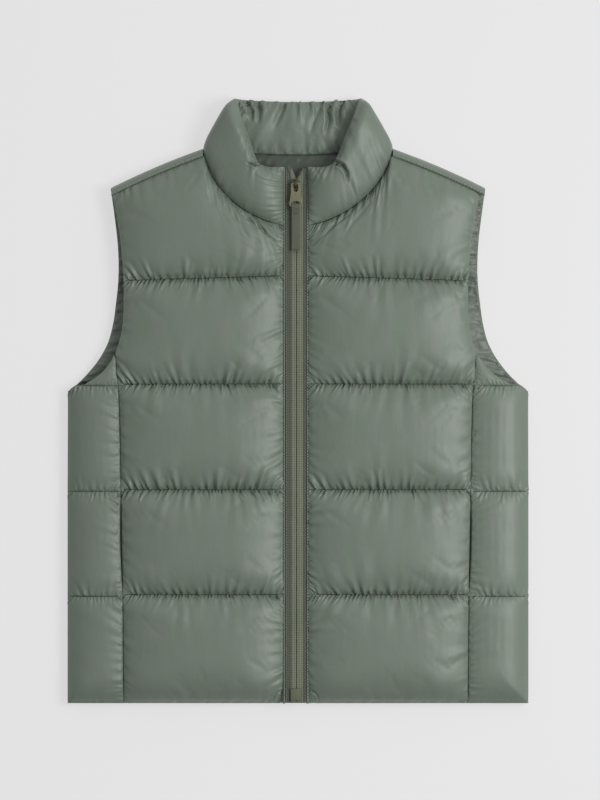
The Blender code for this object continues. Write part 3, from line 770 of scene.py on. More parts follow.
def metalMaterial(name, look):
    # Painted zip metal: slightly uneven colour and a faint brushed roughness.
    material = bpy.data.materials.new(name)
    material.use_nodes = True
    nodes, links = material.node_tree.nodes, material.node_tree.links
    shader = nodes["Principled BSDF"]
    shader.inputs["Metallic"].default_value = look["metallic"]
    place = nodes.new("ShaderNodeTexCoord")
    wear = nodes.new("ShaderNodeTexNoise")
    wear.inputs["Scale"].default_value = 420.0
    wear.inputs["Detail"].default_value = 4.0
    tint = nodes.new("ShaderNodeMix")
    tint.data_type = "RGBA"
    tint.inputs["A"].default_value = (*look["dull"], 1)
    tint.inputs["B"].default_value = (*look["color"], 1)
    gloss = nodes.new("ShaderNodeMapRange")
    gloss.inputs["To Min"].default_value = look["rough"] - 0.08
    gloss.inputs["To Max"].default_value = look["rough"] + 0.10
    links.new(place.outputs["Object"], wear.inputs["Vector"])
    links.new(wear.outputs["Fac"], tint.inputs["Factor"])
    links.new(wear.outputs["Fac"], gloss.inputs["Value"])
    links.new(tint.outputs["Result"], shader.inputs["Base Color"])
    links.new(gloss.outputs["Result"], shader.inputs["Roughness"])
    return material


lining = fabricMaterial("liningNylon", liningCloth)
tapeCloth = fabricMaterial("zipTapeWeave", tapeWeave)
strapCloth = fabricMaterial("pullStrapWeave", strapWeave)
thread = fabricMaterial("sewingThread", threadLook)
paleThread = fabricMaterial("zipSewingThread", paleThreadLook)
brass = metalMaterial("agedZipMetal", agedBrass)
paintedBox = metalMaterial("paintedBoxMetal", boxPaint)
darkBrass = metalMaterial("darkerSliderMetal", darkerBrass)
shell = fabricMaterial("shellNylon", shellCloth)


def frontCreases(side):
    # the tucked corner beside the zip at the hem, the hem's stitched edge, and the folds under the neck seam
    def at(x, y):
        return side * x + zipX / mm, y

    hem = hemY / mm
    return (
        ((at(14.6, hem + 14.5), at(20.5, hem + 13.0), at(25.0, hem + 8.5), at(27.5, hem + 0.5)), 2.4, 1.1),
        ((at(30, hem + 2.4), at(110, hem + 2.4), at(196, hem + 2.4), at(300, hem + 2.4)), 0.8, 0.8),
        ((at(60, 213), at(42, 199), at(27, 186), at(13, 172)), 4.0 if side < 0 else 2.4, 1.15),
        ((at(52, 212), at(38, 197), at(24, 176)), 1.5, 1.8),
        ((at(84, 226), at(66, 205), at(52, 184)), 1.2, 2.2),
    )


def sideCreases(side):
    hem = hemY / mm
    return (((side * 199, hem + 2.4), (side * 262, hem + 2.4), (side * 330, hem + 2.4)), 0.8, 0.8),


for side, word in sides:
    makePanel(f"front{word.title()}Pad", frontPatches(side), f"front_{word}", shell, 11 + side,
              bodyPads, (hemGathers, frontGathers, neckGathers), frontCreases(side))
    makePanel(f"side{word.title()}Pad", sidePatches(side), f"side_{word}", shell, 21 + side,
              sidePads, (sideHemGathers, sideGathers, cornerGathers), sideCreases(side))
    print("panels on the", word, "done")


# Collar.

collarPads = {
    **bodyPads,
    "closeAcross": 1.1,
    "wideAcross": 1.1,
    "closeUp": 0.9,
    "wideUp": 1.4,
    "topEdge": ((14, 268), (30, 267.5), (43, 270), (49, 285), (56, 304.5), (63.5, 323), (71.5, 346.5)),
    "backTop": 343.5,
    "inset": 0.6,
    "seamZ": 25.0,
    "edgeZ": 36.5,
    "backZ": 9.5,
    "foldReach": (20.0, 30.0),
    "seamHalf": 1.3,
    "outerLoft": 11.5,
    "innerLoft": 6.6,
    "pressure": 3.0,
    "cap": 3.5,
    "stretch": 12.0,
}
outerGathers = (
    ("bottom", 5.0, 1.0, 5.0, 0.3, 0, 0, 1),
    ("bottom", 10.0, 1.9, 24.0, 0.2, 0.25, 0.07, 0.27),
    ("bottom", 15.0, 1.3, 18.0, 0.2, 0, 0.73, 0.93),
    ("top", 6.0, 4.0, 9.0, 0.5, 0, 0.0, 0.085),
    ("top", 6.0, 4.0, 9.0, 0.5, 0, 0.915, 1.0),
    ("top", 8.0, 2.6, 15.0, 0.3, -0.2, 0.78, 0.89),
    ("top", 12.0, 1.2, 14.0, 0.3, 0.2, 0.11, 0.24),
    ("top", 5.0, 0.8, 4.0, 0.2, 0, 0, 1),
    ("right", 4.6, 1.7, 14.0, 0.5, 0, 0, 1),
    ("left", 9.0, 1.0, 9.0, 0.5, 0, 0, 1),
)
innerGathers = (
    ("top", 4.2, 1.5, 5.0, 0.2, 0, 0.28, 0.72),
    ("top", 7.0, 2.6, 13.0, 0.3, 0, 0.28, 0.72),
    ("top", 17.0, 3.4, 30.0, 0.5, 0, 0.30, 0.70),
    ("bottom", 5.0, 1.4, 5.0, 0.3, 0, 0.28, 0.72),
    ("bottom", 13.0, 2.0, 18.0, 0.3, 0, 0.30, 0.70),
)
outerCreases = (
    (((42, 272.5), (51.0, 269.0), (56.0, 261), (57, 249)), 8.0, 1.7),
    (((-43, 272.5), (-50, 269.8), (-59.5, 271.8)), 6.5, 1.35),
    (((-47.0, 272.0), (-52.0, 286.0), (-59.0, 305.5), (-66.4, 323.5), (-72.8, 343.0)), 1.1, 0.9),
    (((74.0, 341.0), (69.0, 330.0), (65.0, 321.0)), 0.8, 0.9),
    (((-20, 264), (-27, 258), (-31, 249)), 1.2, 2.6),
    (((20, 265), (24, 259), (25, 253)), 1.0, 2.0),
)
innerCreases = (
    (((38.5, 349), (35.0, 337), (36.0, 322), (31.0, 304)), 8.0, 2.6),
    (((29.0, 349), (24.0, 337), (17.0, 318), (14.0, 304)), 4.0, 3.4),
    (((-50, 349), (-44.5, 335), (-46, 318)), 6.5, 2.6),
    (((-14, 349), (-18.0, 335), (-28, 312)), 3.6, 3.2),
    (((52, 349), (46, 331), (47.5, 312)), 7.0, 2.6),
    (((-62, 349), (-53.5, 332), (-54, 320)), 6.0, 2.4),
)


def rounded(points, times=3):
    points = np.asarray(points, float)
    for _ in range(times):
        near, far = 0.75 * points[:-1] + 0.25 * points[1:], 0.25 * points[:-1] + 0.75 * points[1:]
        inner = np.stack([near, far], axis=1).reshape(-1, points.shape[1])
        points = np.concatenate([points[:1], inner[1:-1], points[-1:]])
    return points


def roundDown(distance, reach, high, low):
    near = 1 - np.clip(distance / reach, 0, 1)
    return low + (high - low) * np.sqrt(np.clip(1 - near**2, 0, 1))


def collarSheet(look):
    # The collar's middle sheet from the right zip edge, round the back of the neck, to the left one.
    neckX, neckY = outline["neckPoint"]
    turn, power, edge = np.linspace(0, math.pi / 2, 600), outline["neckPower"], frontEdge / mm
    seam = np.stack([(neckX - look["inset"]) * np.sin(turn) ** (2 / power),
                     neckY - (outline["neckDepth"] - look["inset"]) * np.cos(turn) ** (2 / power)], axis=1)
    seam = seam[seam[:, 0] > edge]
    frontCount = 1 + round(np.linalg.norm(np.diff(seam, axis=0), axis=1).sum() / look["spacing"])
    backCount = 1 + round(neckX / look["spacing"])
    lower, upper = evenly(seam, frontCount), evenly(rounded(look["topEdge"]), frontCount)
    middle = 0.5 * (look["seamZ"] + look["backZ"])
    level = np.minimum(look["edgeZ"], 27.2 + 0.19 * (upper[:, 0] - edge))
    across = np.linspace(1, 0, backCount)[1:]
    edges = []
    for line, frontZ, backY, reach in (
        (lower, look["seamZ"], outline["backNeck"], look["foldReach"][0]),
        (upper, level, look["backTop"], look["foldReach"][1]),
    ):
        toFold = np.linalg.norm(line - line[-1], axis=1)
        front = np.column_stack([line, roundDown(toFold, reach, frontZ, middle)])
        behind = np.stack([line[-1, 0] * across, backY + (line[-1, 1] - backY) * across**2], axis=1)
        toFold = np.linalg.norm(behind - line[-1], axis=1)
        behind = np.column_stack([behind, roundDown(toFold, 20.0, look["backZ"], middle)])
        edges.append(np.concatenate([front, behind]))
    rows = 1 + round(66 / look["spacing"])
    share = np.linspace(0, 1, rows)[:, None, None]
    half = edges[0][None] * (1 - share) + edges[1][None] * share
    sheet = np.concatenate([half, half[:, -2::-1] * np.array([-1, 1, 1])], axis=1)
    fall = np.clip((neckY - lower[:, 1]) / outline["neckDepth"], 0, 1)
    lean = np.zeros(half.shape[1])
    lean[:frontCount] = zipX / mm * fall
    sheet[..., 0] += np.concatenate([lean, lean[-2::-1]])
    normals = gridNormals(sheet)
    normals[0, :, 1] = 0
    normals[:2] /= np.linalg.norm(normals[:2], axis=2, keepdims=True)
    return sheet * mm, normals


def makeCollar(material):
    look = collarPads
    sheet, normals = collarSheet(look)
    around = alongRow(sheet)[len(sheet) // 2]
    around = around / around[-1]
    fromZip = swell(np.minimum(around, 1 - around) * 2, 0.13)
    sideways = np.abs(normals[len(sheet) // 2, :, 2])  # small where the band folds round to the back
    atFold = 1 - 0.75 * np.clip(1 - sideways / 0.8, 0, 1)
    _, _, toBottom, toTop = toEdges(sheet)
    puff = (0.55 * swell(toBottom, 20 * mm) + 0.45 * swell(toBottom, 62 * mm)) * swell(toTop, 13 * mm)
    across = alongRow(sheet)[:, -1].mean() / mm
    for name, way, loft, gathers, creases, seed in (
        ("collarOuterPad", 1, look["outerLoft"], outerGathers, outerCreases, 31),
        ("collarInnerPad", -1, look["innerLoft"], innerGathers, innerCreases, 37),
    ):
        random = np.random.default_rng(seed)
        middle = sheet + way * 0.15 * mm * normals
        thick = (look["seamHalf"] + loft * puff * (fromZip * atFold)[None]) * mm
        grid = middle + way * thick[..., None] * normals
        grid[..., 2] = np.maximum(grid[..., 2], 0.4 * mm)
        middle[..., 2] = np.maximum(middle[..., 2], 0.2 * mm)
        if way < 0:
            grid, middle = grid[:, ::-1], middle[:, ::-1]
        grid[1:-1, 1:-1] += gridNormals(grid)[1:-1, 1:-1] * ripples(grid, random, 0.3)[1:-1, 1:-1, None]
        grid = blowUp(name, [grid], [rimOf(grid)], look)[0]
        top, base = finer(grid, look, across, 78), finer(middle, look, across, 78)
        top = puckers(top, gridNormals(top), gathers, random)
        for line, depth, width in creases:
            top = groove(top, gridNormals(top), line, depth, width)
        top[..., 2] = np.maximum(top[..., 2], 0.3 * mm)

        def baseAt(r, c):
            return base[r, c]

        piece = closedPad(name, top, baseAt, baseAt, material, across=60)
        finishPad(piece, "collar_outer" if way > 0 else "collar_inner")
        print(name, "done")


makeCollar(shell)

# Back, lining and shoulders.

backPad = {
    "closeAcross": 2.2,
    "wideAcross": 2.2,
    "closeUp": 1.5,
    "wideUp": 3.2,
    "fineReach": 26.0,
    "spacing": 6.0,
    "seamLift": 4.5,
    "reach": 22.0,
}
backGathers = (
    ("top", 5.0, 1.6, 7.0, 0.6, 0, 0, 1),
    ("top", 12.0, 1.3, 16.0, 0.5, 0, 0, 1),
    ("bottom", 5.0, 1.6, 6.0, 0.6, 0, 0, 1),
    ("bottom", 11.0, 1.5, 14.0, 0.5, 0, 0, 1),
    ("left", 7.0, 1.3, 8.0, 0.6, 0, 0, 1),
    ("right", 7.0, 1.3, 8.0, 0.6, 0, 0, 1),
)


def backHalf(y):
    full = halfWidth / mm
    armhole = smoothCurve(*zip(*outline["armholeBack"]), np.clip(y, 11.5, 244))
    shoulder = outline["shoulderTip"][0]
    return np.where(y < 11.5, full, np.where(y > 243.9, shoulder, armhole))


def shoulderTop(x):
    # the shoulder fold and the back of the neck as one line across
    (neckX, neckY), (tipX, tipY) = outline["neckPoint"], outline["shoulderTip"]
    share = np.clip((np.abs(x) - neckX) / (tipX - neckX), 0, 1)
    slope = neckY + (tipY - neckY) * share + 4 * outline["shoulderBulge"] * share * (1 - share)
    dip = outline["backNeck"] + (neckY - outline["backNeck"]) * np.clip(np.abs(x) / neckX, 0, 1) ** 2
    return np.where(np.abs(x) < neckX, dip, slope) - 0.9


def backPatches(look, over=0.0):
    lines = [hemY / mm, *outline["quiltY"][:3], outline["backTopLine"]]
    columns = 1 + round(2 * 265 / look["spacing"])
    across = np.linspace(-1, 1, columns)
    patches = []
    for low, high in zip(lines, lines[1:]):
        rows = 1 + round((high - low) / look["spacing"])
        y = np.linspace(low, high, rows)
        x = backHalf(y)[:, None] * across[None]
        patches.append(np.stack([x, np.broadcast_to(y[:, None], x.shape)], axis=-1) * mm)
    rows = 1 + round((244 - lines[-1]) / look["spacing"])
    share = np.linspace(0, 1, rows)
    y = lines[-1] + (244 - lines[-1]) * share
    x = backHalf(y)[:, None] * across[None]
    topX = outline["shoulderTip"][0] * across
    up = (share**2)[:, None] * (shoulderTop(topX) - 244 + over)[None]
    patches.append(np.stack([x, y[:, None] + up], axis=-1) * mm)
    return patches


def makeBack(material):
    # The back lies on the floor: its outer cloth faces down, pressed flat between the gathered seams.
    look = backPad
    random = np.random.default_rng(41)
    stacked = []
    for number, patch in enumerate(backPatches(look)):
        toLeft, toRight, toBottom, toTop = toEdges(patch)
        full = swell(np.minimum(toLeft, toRight), look["reach"] * mm)
        full = full * swell(np.minimum(toBottom, toTop), look["reach"] * mm)
        z = look["seamLift"] * mm * (1 - full) ** 1.3
        grid = np.concatenate([patch, z[..., None]], axis=2)
        fine = finer(grid, look, 530)
        fine = puckers(fine, -gridNormals(fine), backGathers, random)
        stacked.append(fine if number == 0 else fine[1:])
    under = np.concatenate(stacked)
    under[..., 2] = np.maximum(under[..., 2], 0.0)
    probe = heightProbe("back_panel")
    under = under[:, ::-1]

    def rimAt(r, c):
        return under[r, c] + np.array([0, 0, 2.4 * mm])

    def insideAt(r, c):
        x, y, z = under[r, c]
        return np.array([x, y, max(probe(x, y, False), z + 1.2 * mm)])

    piece = closedPad("backPad", under, rimAt, insideAt, material, across=23)
    finishPad(piece, "back_panel")


liningSheet = {
    "closeAcross": 1.1,
    "wideAcross": 4.2,
    "fineReach": 20.0,
    "across": 528,
    "fineFrom": 0.56,  # of its height, where the neck and armholes show it
    "lowRows": 70,
    "highRows": 170,
    "thickness": 0.8,
    "crumple": 3.2,
    "tuckY": 280.0,  # it dips under the collar's lower edge
    "tuckDepth": 2.5,
    "edgeIn": 0.6,
    "neckFrom": 0.20,  # metres up, where it starts to rise and crumple towards the neck
    "neckWithin": 0.05,
    "lift": 0.5,
    "neckLift": 1.4,
    "seamSink": 1.6,
    "seamHalf": 1.6,
}
liningGathers = (
    ("left", 5.0, 1.8, 9.0, 0, 0, 0, 1),
    ("right", 5.0, 1.8, 9.0, 0, 0, 0, 1),
    ("left", 13.0, 2.2, 16.0, 0, 0.3, 0, 1),
    ("right", 13.0, 2.2, 16.0, 0, 0.3, 0, 1),
    ("top", 5.0, 1.6, 10.0, 0, 0, 0, 1),
)


def crumpleField(x, y, random, count, longest, shortest):
    total = np.zeros(x.shape)
    for _ in range(count):
        way, length = random.uniform(0, math.pi), random.uniform(shortest, longest) * mm
        phase = random.uniform(0, 6.3)
        bend = 0.8 * np.sin((x * math.sin(way) - y * math.cos(way)) * 6.28 / (length * 2.7) + phase)
        wave = np.sin((x * math.cos(way) + y * math.sin(way)) * 6.28 / length + phase + bend)
        total += 1 - 2 * np.abs(wave) ** 0.7
    return total / count


def planArea(grid):
    # the area that a grid of places covers, laid flat
    one, other = grid[1:, 1:] - grid[:-1, :-1], grid[1:, :-1] - grid[:-1, 1:]
    return 0.5 * float(np.abs(one[..., 0] * other[..., 1] - one[..., 1] * other[..., 0]).sum())


def makeLining(material):
    look = liningSheet
    random = np.random.default_rng(43)
    probe = heightProbe("back_lining")
    grids = backPatches({"spacing": 9.0}, over=1.2)
    grid = np.concatenate([grids[0], *[patch[1:] for patch in grids[1:]]])
    grid[..., 0] *= 1 - look["edgeIn"] * mm / halfWidth
    cut, cutArea = np.ptp(grid[..., :2], axis=(0, 1)), planArea(grid)
    height = np.array([[probe(x, y, False) for x, y in row] for row in grid])
    grid = np.concatenate([grid, height[..., None]], axis=2)
    columns = gradedSteps(look["across"], look["closeAcross"], look["wideAcross"], look["fineReach"])
    low = np.linspace(0, look["fineFrom"], look["lowRows"])[:-1]
    share = np.concatenate([low, np.linspace(look["fineFrom"], 1, look["highRows"])])
    fine = resample(resample(grid, columns * (grid.shape[1] - 1), 1), share * (grid.shape[0] - 1), 0)
    rough = crumpleField(fine[..., 0], fine[..., 1], random, 7, 34, 9)
    toLeft, toRight, toBottom, toTop = toEdges(fine)
    inside = np.minimum.reduce([toLeft, toRight, toBottom, toTop])
    nearNeck = (fine[..., 1] - look["neckFrom"]) / look["neckWithin"]
    rough = rough * np.clip(inside / (6 * mm), 0, 1)
    fine[..., 2] += look["crumple"] * mm * np.clip(nearNeck, 0.25, 1) * rough
    fine[..., 2] += (look["lift"] + look["neckLift"] * np.clip(nearNeck, 0, 1)) * mm
    for y in outline["quiltY"][:3] + (outline["backTopLine"],):
        away = np.abs(fine[..., 1] / mm - y)
        fine[..., 2] -= look["seamSink"] * mm * np.exp(-((away / look["seamHalf"]) ** 2))
    fine[..., 2] -= look["tuckDepth"] * mm * np.clip((fine[..., 1] / mm - look["tuckY"]) / 2.0, 0, 1)
    top = puckers(fine, gridNormals(fine), liningGathers, random)

    def rimAt(r, c):
        return top[r, c] - np.array([0, 0, look["thickness"] * mm])

    piece = closedPad("liningSheet", top, rimAt, rimAt, material, across=26)
    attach(piece, "vest")
    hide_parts("back_lining")
    flat = tuple(round(float(size), 4) for size in cut)


def ribbon(name, path, sections, material, smooth=True):
    # A closed strip: one closed section of (across, up) places at each place of its path.
    points, faces = [], []
    count = len(sections[0])
    for (origin, acrossWay, upWay), section in zip(path, sections):
        for across, up in section:
            points.append(np.asarray(origin) + across * np.asarray(acrossWay) + up * np.asarray(upWay))
    for k in range(len(path) - 1):
        for i in range(count):
            j = (i + 1) % count
            faces.append([k * count + i, k * count + j, (k + 1) * count + j, (k + 1) * count + i])
    faces.append(list(range(count))[::-1])
    faces.append([(len(path) - 1) * count + i for i in range(count)])
    obj = addMesh(name, points, faces, material, smooth)
    work = bmesh.new()
    work.from_mesh(obj.data)
    bmesh.ops.recalc_face_normals(work, faces=work.faces)
    work.to_mesh(obj.data)
    work.free()
    obj.data.set_sharp_from_angle(angle=math.radians(50))
    return obj


shoulderFold = {
    "reach": (0.012, 0.988),  # of the shoulder line
    "overlap": 0.2,  # over the front's edge
    "across": (0, 0.12, 0.4, 0.75, 1),
    "height": (24.9, 26.4, 26.2, 21.8, 14.0),  # at those shares, falling over the shoulder
    "waver": 0.5,
    "deep": 2.4,
    "gathers": (("bottom", 7.0, 0.5, 6.0, 0.2, 0.8, 0, 1),),
}


def makeShoulder(side, word, material):
    # The back's edge folded forward over the shoulder.
    look = shoulderFold
    random = np.random.default_rng(47 + side)
    (neckX, neckY), (tipX, tipY) = outline["neckPoint"], outline["shoulderTip"]
    along = np.linspace(*look["reach"], 110)
    across = np.linspace(0, 1, 13)
    x = tipX + (neckX - tipX) * along
    fold = tipY + (neckY - tipY) * along + 4 * outline["shoulderBulge"] * along * (1 - along)
    strip = outline["shoulderStrip"]
    y = (fold - strip - look["overlap"])[:, None] + across[None] * (strip + look["overlap"])
    z = np.interp(across, look["across"], look["height"])
    waver = look["waver"] * np.sin(along * 190 + random.uniform(0, 6))[:, None]
    z = np.broadcast_to(z, y.shape) + waver * np.exp(-across * 5)
    top = np.stack([np.broadcast_to(side * x[:, None], y.shape), y, z], axis=-1) * mm
    top = top.transpose(1, 0, 2)
    if side > 0:
        top = top[:, ::-1]
    top = puckers(top, gridNormals(top), look["gathers"], random)

    def rimAt(r, c):
        return top[r, c] - np.array([0, 0, look["deep"] * mm])

    piece = closedPad(f"shoulder{word.title()}Fold", top, rimAt, rimAt, material, across=30)
    finishPad(piece, f"shoulder_{word}")


makeBack(shell)
makeLining(lining)
for side, word in sides:
    makeShoulder(side, word, shell)
print("back, lining and shoulders done")

# Zip.

zipParts = {
    "tapeEdge": 11.6,
    "tapeTop": 266.5,
    "openY": 252.0,  # above the slider the two tapes part
    "openSpread": (5.0, 7.5),
    "ribPitch": 1.55,
    "ribHeight": 0.30,
    "coil": (6.0, 7.4),
    "split": 0.8,  # the two tapes meet a little to the right
    "facing": (12.2, 14.7),
    "facingTop": 26.6,
    "facingLow": 22.5,
    "stitchPitch": 3.4,
    "stitchLength": 1.7,
    "stitchHalf": 0.42,
    "teeth": (253.4, 266.4, 1.25),  # from, to and pitch up the vest
    "teethZ": 25.9,
    "teethRings": ((-1.5, 0.6), (-1.1, 1.0), (0.9, 1.0), (1.3, 0.6)),  # place and share of the full size
    "teethHalf": (0.42, 0.55),
}


def tapeInner(y, side):
    share = np.clip((y - zipParts["openY"]) / (zipParts["tapeTop"] - zipParts["openY"]), 0, 1)
    return 0.25 + side * zipParts["split"] + zipParts["openSpread"][side > 0] * share**1.3


def makeTape(side, word, material):
    look = zipParts
    low, high = tapeLow[2] / mm, tapeZ / mm - 0.7
    closed = np.linspace(hemY / mm + 2, look["openY"], 130)
    ys = np.concatenate([closed, np.linspace(look["openY"], look["tapeTop"], 12)[1:]])
    path, sections = [], []
    for y in ys:
        inner = tapeInner(y, side)
        x = np.linspace(inner, look["tapeEdge"], 64)
        rib = look["ribHeight"] * np.abs(np.sin(np.pi * (x - inner) / look["ribPitch"])) ** 0.8
        chain = 0.9 * np.clip((look["coil"][side > 0] - (x - inner)) / 0.9, 0, 1)
        chain = chain * np.clip((x - inner) / 0.35, 0, 1) ** 0.5
        up = high - 0.2 + rib + chain
        section = [(side * a * mm, b * mm) for a, b in zip(x, up)]
        section += [(side * look["tapeEdge"] * mm, low * mm), (side * inner * mm, low * mm)]
        path.append(((zipX, y * mm, 0), (1, 0, 0), (0, 0, 1)))
        sections.append(section)
    piece = ribbon(f"zipTape{word.title()}", path, sections, material)
    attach(piece, "vest")
    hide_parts(f"zip_tape_{word}")
    wide, long = look["tapeEdge"] - tapeInner(ys[0], side), ys[-1] - ys[0]


def makeFacing(side, word, material):
    look = zipParts
    random = np.random.default_rng(53 + side)
    inner, outer = look["facing"]
    ys = np.linspace(hemY / mm, look["tapeTop"] + 1, 420)
    waver = np.cumsum(random.normal(0, 0.05, len(ys)))
    waver = 0.25 * (waver - np.linspace(waver[0], waver[-1], len(ys)))
    path, sections = [], []
    for y, off in zip(ys, waver):
        x = np.linspace(0, 1, 12)
        wide = outer - inner
        off = float(np.clip(off, -0.25, 0.25))
        up = look["facingTop"] - 1.5 * x**2 - 1.3 * (1 - x) ** 6
        up = up + 0.15 * math.sin(y * 2.6) * np.sin(np.pi * x)
        section = [(side * (inner + off + a * wide) * mm, b * mm) for a, b in zip(x, up)]
        low = look["facingLow"] * mm
        section += [(side * outer * mm, low), (side * (inner + off) * mm, low)]
        path.append(((zipX, y * mm, 0), (1, 0, 0), (0, 0, 1)))
        sections.append(section)
    piece = ribbon(f"zipFacing{word.title()}", path, sections, material)
    finishPad(piece, f"zip_facing_{word}")  # rolled round its own seam allowance


def capsule(faces, start, count):
    # closes four rings of points, which follow one another from start, into one small solid
    for ring in range(3):
        low = start + ring * count
        for i in range(count):
            j = (i + 1) % count
            faces.append([low + i, low + j, low + count + j, low + count + i])
    faces.append([start + i for i in range(count)][::-1])
    faces.append([start + 3 * count + i for i in range(count)])


def stitchRun(store, line, up, pitch, length, half):
    # short raised threads along a line of 3-D places, gathered in one store of points and faces
    line = np.asarray(line, float)
    steps = np.linalg.norm(np.diff(line, axis=0), axis=1)
    along = np.concatenate([[0], np.cumsum(steps)])
    at = np.arange(0.5 * pitch, along[-1], pitch)
    for middle in at:
        a, b = (
            np.array([np.interp(end, along, line[:, i]) for i in range(3)])
            for end in (middle - 0.5 * length, middle + 0.5 * length)
        )
        way = (b - a) / max(np.linalg.norm(b - a), 1e-9)
        out = np.cross(way, up)
        out /= max(np.linalg.norm(out), 1e-9)
        rise = np.cross(out, way)
        start = len(store[0])
        for t, thin in ((0, 0.35), (0.2, 1), (0.8, 1), (1, 0.35)):
            centre = a + (b - a) * t - rise * half * (1 - thin)
            for turn in range(5):
                angle = turn * 2 * math.pi / 5
                store[0].append(centre + half * thin * (math.cos(angle) * out + math.sin(angle) * rise))
        capsule(store[1], start, 5)


def sewn(name, store, material, body="vest"):
    piece = addMesh(name, store[0], store[1], material)
    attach(piece, body)
    return piece


def refined(name, node, material, body, width):
    # the hard piece's own form, its flat faces made whole again and its edges rounded
    source = bpy.data.objects[node]
    mesh = source.data.copy()
    mesh.transform(source.matrix_world)
    work = bmesh.new()
    work.from_mesh(mesh)
    bmesh.ops.remove_doubles(work, verts=work.verts, dist=0.00002)
    bmesh.ops.dissolve_limit(work, angle_limit=math.radians(2), verts=work.verts, edges=work.edges)
    work.to_mesh(mesh)
    work.free()
    mesh.materials.clear()
    mesh.materials.append(material)
    piece = bpy.data.objects.new(name, mesh)
    scene.collection.objects.link(piece)
    edges = piece.modifiers.new("edges", "BEVEL")
    edges.width = width
    edges.segments = 3
    edges.limit_method = "ANGLE"
    edges.angle_limit = math.radians(40)
    mesh.shade_smooth()
    mesh.set_sharp_from_angle(angle=math.radians(45))
    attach(piece, body)
    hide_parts(node)
    return piece


def makeTeeth(material):
    # the open coil above the slider, along the right-hand tape's inner edge
    points, faces = [], []
    look = zipParts
    halfWide, halfHigh = look["teethHalf"]
    for y in np.arange(*look["teeth"]):
        x = zipX / mm + tapeInner(y, 1) + 0.15
        centre = np.array([x, y, look["teethZ"]])
        tilt = math.atan2(look["openSpread"][1], look["tapeTop"] - look["openY"])
        lengthWay = np.array([math.cos(tilt), -math.sin(tilt), 0])
        wideWay = np.array([math.sin(tilt), math.cos(tilt), 0])
        start = len(points)
        for a, thin in look["teethRings"]:
            for turn in range(8):
                angle = turn * math.pi / 4
                place = centre + lengthWay * a + thin * halfWide * math.cos(angle) * wideWay
                place = place + thin * halfHigh * math.sin(angle) * np.array([0, 0, 1])
                points.append(place * mm)
        capsule(faces, start, 8)
    return sewn("openCoil", (points, faces), material)


strapLook = {
    "width": 9.0,
    "thick": 1.1,
    "ribs": 9,
    "ribHeight": 0.22,
    "endY": 171.5,
    "pivot": (249.5, 31.4),  # the joint's place along the vest and above the floor
    "tabLength": 30.0,
    "rim": 2.7,  # from the tab's end to the middle of its lower rim
    "sink": -2.0,
    "layer": 0.62,  # of each layer's middle from the strap's
    "loop": (3.1, 2.7),  # the turn round the rim, along and up
    "loopTurn": 112,
    "tack": (213.6, 218.6, 0.62),
    "tackHalf": 3.6,
    "endRows": (172.6, 173.6),
    "endHalf": 4.1,
}


def makeStrap(material):
    # The webbing strap: up over the tab's lower rim and back down on itself, ribbed lengthwise.
    look = strapLook
    pivotY, pivotZ = look["pivot"]
    rimY = pivotY - look["tabLength"] + look["rim"]
    middleZ, layer = pivotZ + look["sink"], look["layer"]
    route = [(look["endY"], middleZ + layer)]
    for share in np.linspace(0, 1, 18)[1:]:
        y = look["endY"] + (rimY - 6.2 - look["endY"]) * share
        route.append((y, middleZ + layer + 0.5 * share**6))
    alongLoop, upLoop = look["loop"]
    for angle in np.radians(np.linspace(look["loopTurn"], -look["loopTurn"], 15)):
        route.append((rimY + alongLoop * math.cos(angle), pivotZ + upLoop * math.sin(angle)))
    for share in np.linspace(0, 1, 18):
        route.append((rimY - 5.2 + (look["endY"] - rimY + 5.2) * share, middleZ - layer))
    route = np.array(route)
    way = np.gradient(route, axis=0)
    way /= np.linalg.norm(way, axis=1, keepdims=True)
    half, path, sections = 0.5 * look["width"], [], []
    x = np.linspace(-half, half, 6 * look["ribs"] + 1)
    rib = look["ribHeight"] * np.abs(np.sin(np.pi * (x + half) / look["width"] * look["ribs"]))
    for (y, z), (wy, wz) in zip(route, way):
        path.append(((zipX, y * mm, z * mm), (1, 0, 0), (0, -wz, wy)))
        upper = [(a * mm, (0.5 * look["thick"] - 0.15 + r) * mm) for a, r in zip(x, rib)]
        lower = [(a * mm, -(0.5 * look["thick"] - 0.1) * mm) for a in x[::-1]]
        sections.append(upper + lower)
    piece = ribbon("pullStrapWebbing", path, sections, material)
    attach(piece, "pull")
    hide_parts("pull_strap")
    # a flat width under 10 mm isn't taken, so the webbing's own width is in its area
    tack = ([], [])
    topZ = middleZ + layer + 0.5 * look["thick"] + 0.25
    reach = look["tackHalf"] * mm
    for y in np.arange(*look["tack"]):
        line = [(zipX - reach, y * mm, topZ * mm), (zipX + reach, (y + 0.35) * mm, topZ * mm)]
        stitchRun(tack, line, (0, 0, 1), 7.2 * mm, 7.0 * mm, 0.26 * mm)
    reach, level = look["endHalf"] * mm, (topZ - 0.1) * mm
    for y in look["endRows"]:
        line = [(zipX - reach, y * mm, level), (zipX + reach, y * mm, level)]
        stitchRun(tack, line, (0, 0, 1), 1.5 * mm, 1.2 * mm, 0.22 * mm)
    sewn("strapBarTack", tack, thread, body="pull")


for side, word in sides:
    makeTape(side, word, tapeCloth)
    makeFacing(side, word, shell)
refined("sliderBody", "zip_slider", darkBrass, "vest", 0.00035)
refined("pullTab", "pull_tab", brass, "pull", 0.0003)
refined("zipBox", "zip_box", paintedBox, "vest", 0.0003)
makeTeeth(brass)
makeStrap(strapCloth)
print("zip and pull done")

# Stitching.

seams = {
    "quiltPitch": 2.7,
    "quiltLength": 2.1,
    "quiltHalf": 0.45,
    "quiltLift": 0.9,
    "facingRow": (1.3, 26.35),  # in from the facing's inner edge, and above the floor
    "tapeRow": (0.5, 0.6),  # in from the tape's edge, and below its top
}


